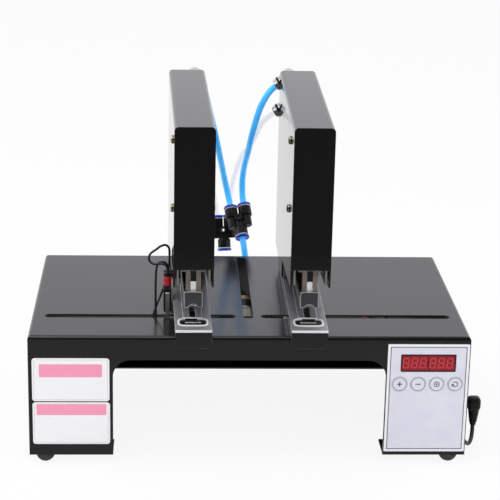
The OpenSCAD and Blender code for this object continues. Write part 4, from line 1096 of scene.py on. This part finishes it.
def addFeet():
    mesh = bmesh.new()
    dome = [(sqrt(feet["ball"]**2 - (h - feet["drop"])**2), h) for h in feet["dome"]]
    for side in (-1, 1):
        for y in feet["y"]:
            addLathe(mesh, feet["stem"] + dome + feet["dimple"], (side * feet["x"], y, 0), (0, 0, -1), 40)
    makePiece(mesh, "moulded_feet", "grey_rubber", stands=["rubber_feet"])


addFeet()
print("collars, screws and feet made")

# control panel: display bezel, digits, key rings and key marks
display = {
    "mid": (149.75, 84.3), "module": (22.4, 14), "face": -0.7, "bezel": (-0.72, -1), "seam": 0.22,
    "digitPitch": 7.2, "digit": (4.3, 8.4), "digitShift": -0.4, "stroke": 0.95, "gap": 0.13, "lean": 0.1,
    "point": (1.05, -0.1, 0.52),
}


def addDisplay():
    midX, midZ = display["mid"]
    wide, tall = display["module"]
    mesh = bmesh.new()

    def rim(across, up, radius):
        return roundOutline((midX - wide - across, midZ - tall / 2 - up),
                            (midX + wide + across, midZ + tall / 2 + up), radius)

    addFrame(mesh, rim(0.9, 0.8, 0.8), rim(-0.1, -0.2, 0.5), *display["bezel"])
    seam = display["seam"]
    addBlock(mesh, (midX - seam, -0.9, midZ - tall / 2), (midX + seam, -0.5, midZ + tall / 2), 0.08, 2)
    makePiece(mesh, "display_bezel", "black_plastic")
    mesh = bmesh.new()
    w, h = display["digit"]
    t, gap = display["stroke"], display["gap"]
    back, front = display["face"] + 0.02, display["face"] - 0.06
    pointX, pointZ, pointRadius = display["point"]

    def bar(x, z, length, upright):
        far, near = length / 2, length / 2 - t / 2
        ends = [(-far, 0), (-near, t / 2), (near, t / 2), (far, 0), (near, -t / 2), (-near, -t / 2)]
        spots = [(v, u) if upright else (u, v) for u, v in ends]
        return [(x + u + (z - midZ + v) * display["lean"], z + v) for u, v in spots]

    for module in (-1, 1):
        for place in (-1, 0, 1):
            x = midX + module * (wide + 0.2) / 2 + place * display["digitPitch"] + display["digitShift"]
            for z in (midZ - h / 2, midZ, midZ + h / 2):
                addSlab(mesh, bar(x, z, w - 2 * gap, False), back, front)
            for z in (midZ - h / 4, midZ + h / 4):
                for edge in (-1, 1):
                    addSlab(mesh, bar(x + edge * w / 2, z, h / 2 - 2 * gap, True), back, front)
            point = circleOutline(x + w / 2 + pointX, midZ - h / 2 + pointZ, pointRadius, 16)
            addSlab(mesh, point, back, front)
    makePiece(mesh, "display_digits", "lit_segment")


addDisplay()
keys = {
    "x": {"plus": 126.2, "minus": 141.9, "set": 157.6, "reset": 173.3}, "z": 65.4, "face": -1.2,
    "ring": (5.95, 5.55), "bar": 0.42, "arm": 2.2, "target": (2.5, 1.8, 0.85),
}
arrow = {"radius": 2.1, "width": 0.75, "start": 140, "sweep": -285, "tip": -2.1, "barb": 1.5, "steps": 24}


def arrowRing(x, z):
    def polar(r, a):
        return (x + r * cos(a), z + r * sin(a))

    radius, half, steps = arrow["radius"], arrow["width"] / 2, arrow["steps"]
    turns = [radians(arrow["start"] + arrow["sweep"] * k / steps) for k in range(steps + 1)]
    last = turns[-1]
    endX, endZ = polar(radius, last)
    tip = (endX - arrow["tip"] * sin(last), endZ + arrow["tip"] * cos(last))
    return ([polar(radius + half, a) for a in turns]
            + [polar(radius + arrow["barb"], last), tip, polar(radius - arrow["barb"], last)]
            + [polar(radius - half, a) for a in reversed(turns)])


def addKeyMarks():
    back, front = keys["face"] + 0.01, keys["face"] - 0.06
    bar, arm, z = keys["bar"], keys["arm"], keys["z"]
    wide, narrow, dot = keys["target"]
    for name, x in keys["x"].items():
        mesh = bmesh.new()
        addFrame(mesh, *[circleOutline(x, z, r) for r in keys["ring"]], back, front)
        if name == "plus":
            addSlab(mesh, crossOutline(x, z, bar, arm), back, front)
        elif name == "minus":
            addSlab(mesh, roundOutline((x - arm, z - bar), (x + arm, z + bar), 0.2, 3), back, front)
        elif name == "set":
            addFrame(mesh, circleOutline(x, z, wide), circleOutline(x, z, narrow), back, front)
            addSlab(mesh, circleOutline(x, z, dot, 24), back, front)
        else:
            addSlab(mesh, arrowRing(x, z), back, front)
        makePiece(mesh, "key_mark_" + name, "dark_ink", "key_" + name + "_cap")


addKeyMarks()

# plain stickers on the left leg: a white field, one pink band and thin pale lines
stickers = {
    "fields": [((-181.8, 49), (-117.4, 87.6)), ((-181.7, 10), (-117, 48))],
    "bands": [((-176, 70.6), (-123.5, 82.2)), ((-178.5, 36.4), (-120, 46.2))],
    "round": 2.6, "inset": 1.3, "line": 0.35,
}


def addStickers():
    white, pink, pale = bmesh.new(), bmesh.new(), bmesh.new()

    def within(low, high, gap, radius):
        return roundOutline((low[0] + gap, low[1] + gap), (high[0] - gap, high[1] - gap), radius)

    for field, band in zip(stickers["fields"], stickers["bands"]):
        addSlab(white, roundOutline(*field, stickers["round"]), 0.02, -0.1)
        addSlab(pink, roundOutline(*band, 1), -0.08, -0.14)
        addFrame(pale, within(*field, stickers["inset"], 1.8),
                 within(*field, stickers["inset"] + stickers["line"], 1.5), -0.08, -0.13)
    for mesh, part, finish in ((white, "field", "sticker"), (pink, "band", "pink_ink"),
                               (pale, "line", "pale_ink")):
        makePiece(mesh, "leg_sticker_" + part, finish)


addStickers()


def addCrimps():
    mesh = bmesh.new()
    tall = crimps["high"] - crimps["low"]
    r = crimps["radius"]
    profile = [(0, -0.1), (r - 0.5, -0.1), (r - 0.1, 0.2), (r + 0.2, 0.8), (r + 0.2, 3), (r + 0.02, 3.4),
               (r + 0.02, 4.4), (r + 0.2, 4.8), (r + 0.2, tall - 2), (r + 0.25, tall - 0.4),
               (r - 0.2, tall + 0.15), (1.3, tall + 0.15), (1.05, tall - 0.6), (0, tall - 0.6)]
    for y in crimps["y"]:
        addLathe(mesh, profile, headPoint(-1, crimps["x"], y, crimps["low"]), (0, 0, 1), 28)
    makePiece(mesh, "crimp_sleeves", "red_sleeve", "left_head", 40)


addCrimps()
print("panel, stickers and switch dressed")

# studio: pale floor, white surround, soft lamps; mirrors see less light on the camera's side
studio = {
    "floor": (0.86, 0.86, 0.86, 1), "cover": 0.9, "ahead": (-0.75, -0.4), "under": (-0.14, -0.12),
    "floorMirror": (0.03, 0.38, 0.57), "room": (-0.5, 0.1), "roomMirror": (0.07, 0.9), "fill": 0.74,
    "tint": (0.97, 0.96, 1), "slope": 0.35, "aim": Vector((0, 0, 0.12)),
}


def addFloor():
    bench = newBench("studio_floor")
    camera, glossy, through = bench.rays()
    seen = camera.highest(glossy).highest(through)
    matt = bench.add("ShaderNodeBsdfDiffuse", {}, {"Color": studio["floor"]})
    depth = bench.axis(bench.spot(), "Y")
    ahead = bench.spread(depth, *studio["ahead"])
    under = bench.spread(depth, *studio["under"])
    least, near, below = studio["floorMirror"]
    shown = camera.highest(through).highest(glossy * (least + near * ahead + below * under))
    white = bench.add("ShaderNodeEmission", {}, {"Color": (1, 1, 1, 1), "Strength": shown})
    mixed = bench.add("ShaderNodeMixShader", {}, {0: seen * studio["cover"], 1: matt, 2: white})
    bench.add("ShaderNodeOutputMaterial", {}, {"Surface": mixed})
    mesh = bmesh.new()
    bmesh.ops.create_grid(mesh, x_segments=1, y_segments=1, size=9)
    data = bpy.data.meshes.new("studio_floor")
    mesh.to_mesh(data)
    mesh.free()
    data.materials.append(bench.holder)
    floor = linked("studio_floor", data)
    floor.location = (0, 0, cadBox[0].z - 0.0004)


def addWorld():
    world = bpy.data.worlds.new("studio")
    scene.world = world
    bench = Bench(world)
    camera, glossy, through = bench.rays()
    way = bench.add("ShaderNodeTexCoord", out="Generated")
    behind = bench.spread(bench.axis(way, "Y") - studio["slope"] * bench.axis(way, "Z"), *studio["room"])
    least, rise = studio["roomMirror"]
    shown = camera.highest(through)
    level = shown.highest(glossy * (least + rise * behind)).highest((1 - glossy) * studio["fill"])
    tone = bench.tint(shown, studio["tint"], (1, 1, 1))
    back = bench.add("ShaderNodeBackground", {}, {"Color": tone, "Strength": level})
    bench.add("ShaderNodeOutputWorld", {}, {"Surface": back})


lamps = {
    "top_softbox": {"at": (-0.5, -0.7, 1.7), "size": 1.3, "power": 13},
    "right_softbox": {"at": (1.5, -0.6, 0.9), "size": 0.9, "power": 6},
    "left_softbox": {"at": (-1.5, 0.2, 1.0), "size": 0.9, "power": 6},
}


def addLamps():
    for name, spec in lamps.items():
        lamp = linked(name, bpy.data.lights.new(name, "AREA"))
        lamp.data.size = spec["size"]
        lamp.data.energy = spec["power"]
        lamp.location = spec["at"]
        aim = studio["aim"] - Vector(spec["at"])
        lamp.rotation_euler = aim.to_track_quat("-Z", "Y").to_euler()


addFloor()
addWorld()
addLamps()
print("studio lit")
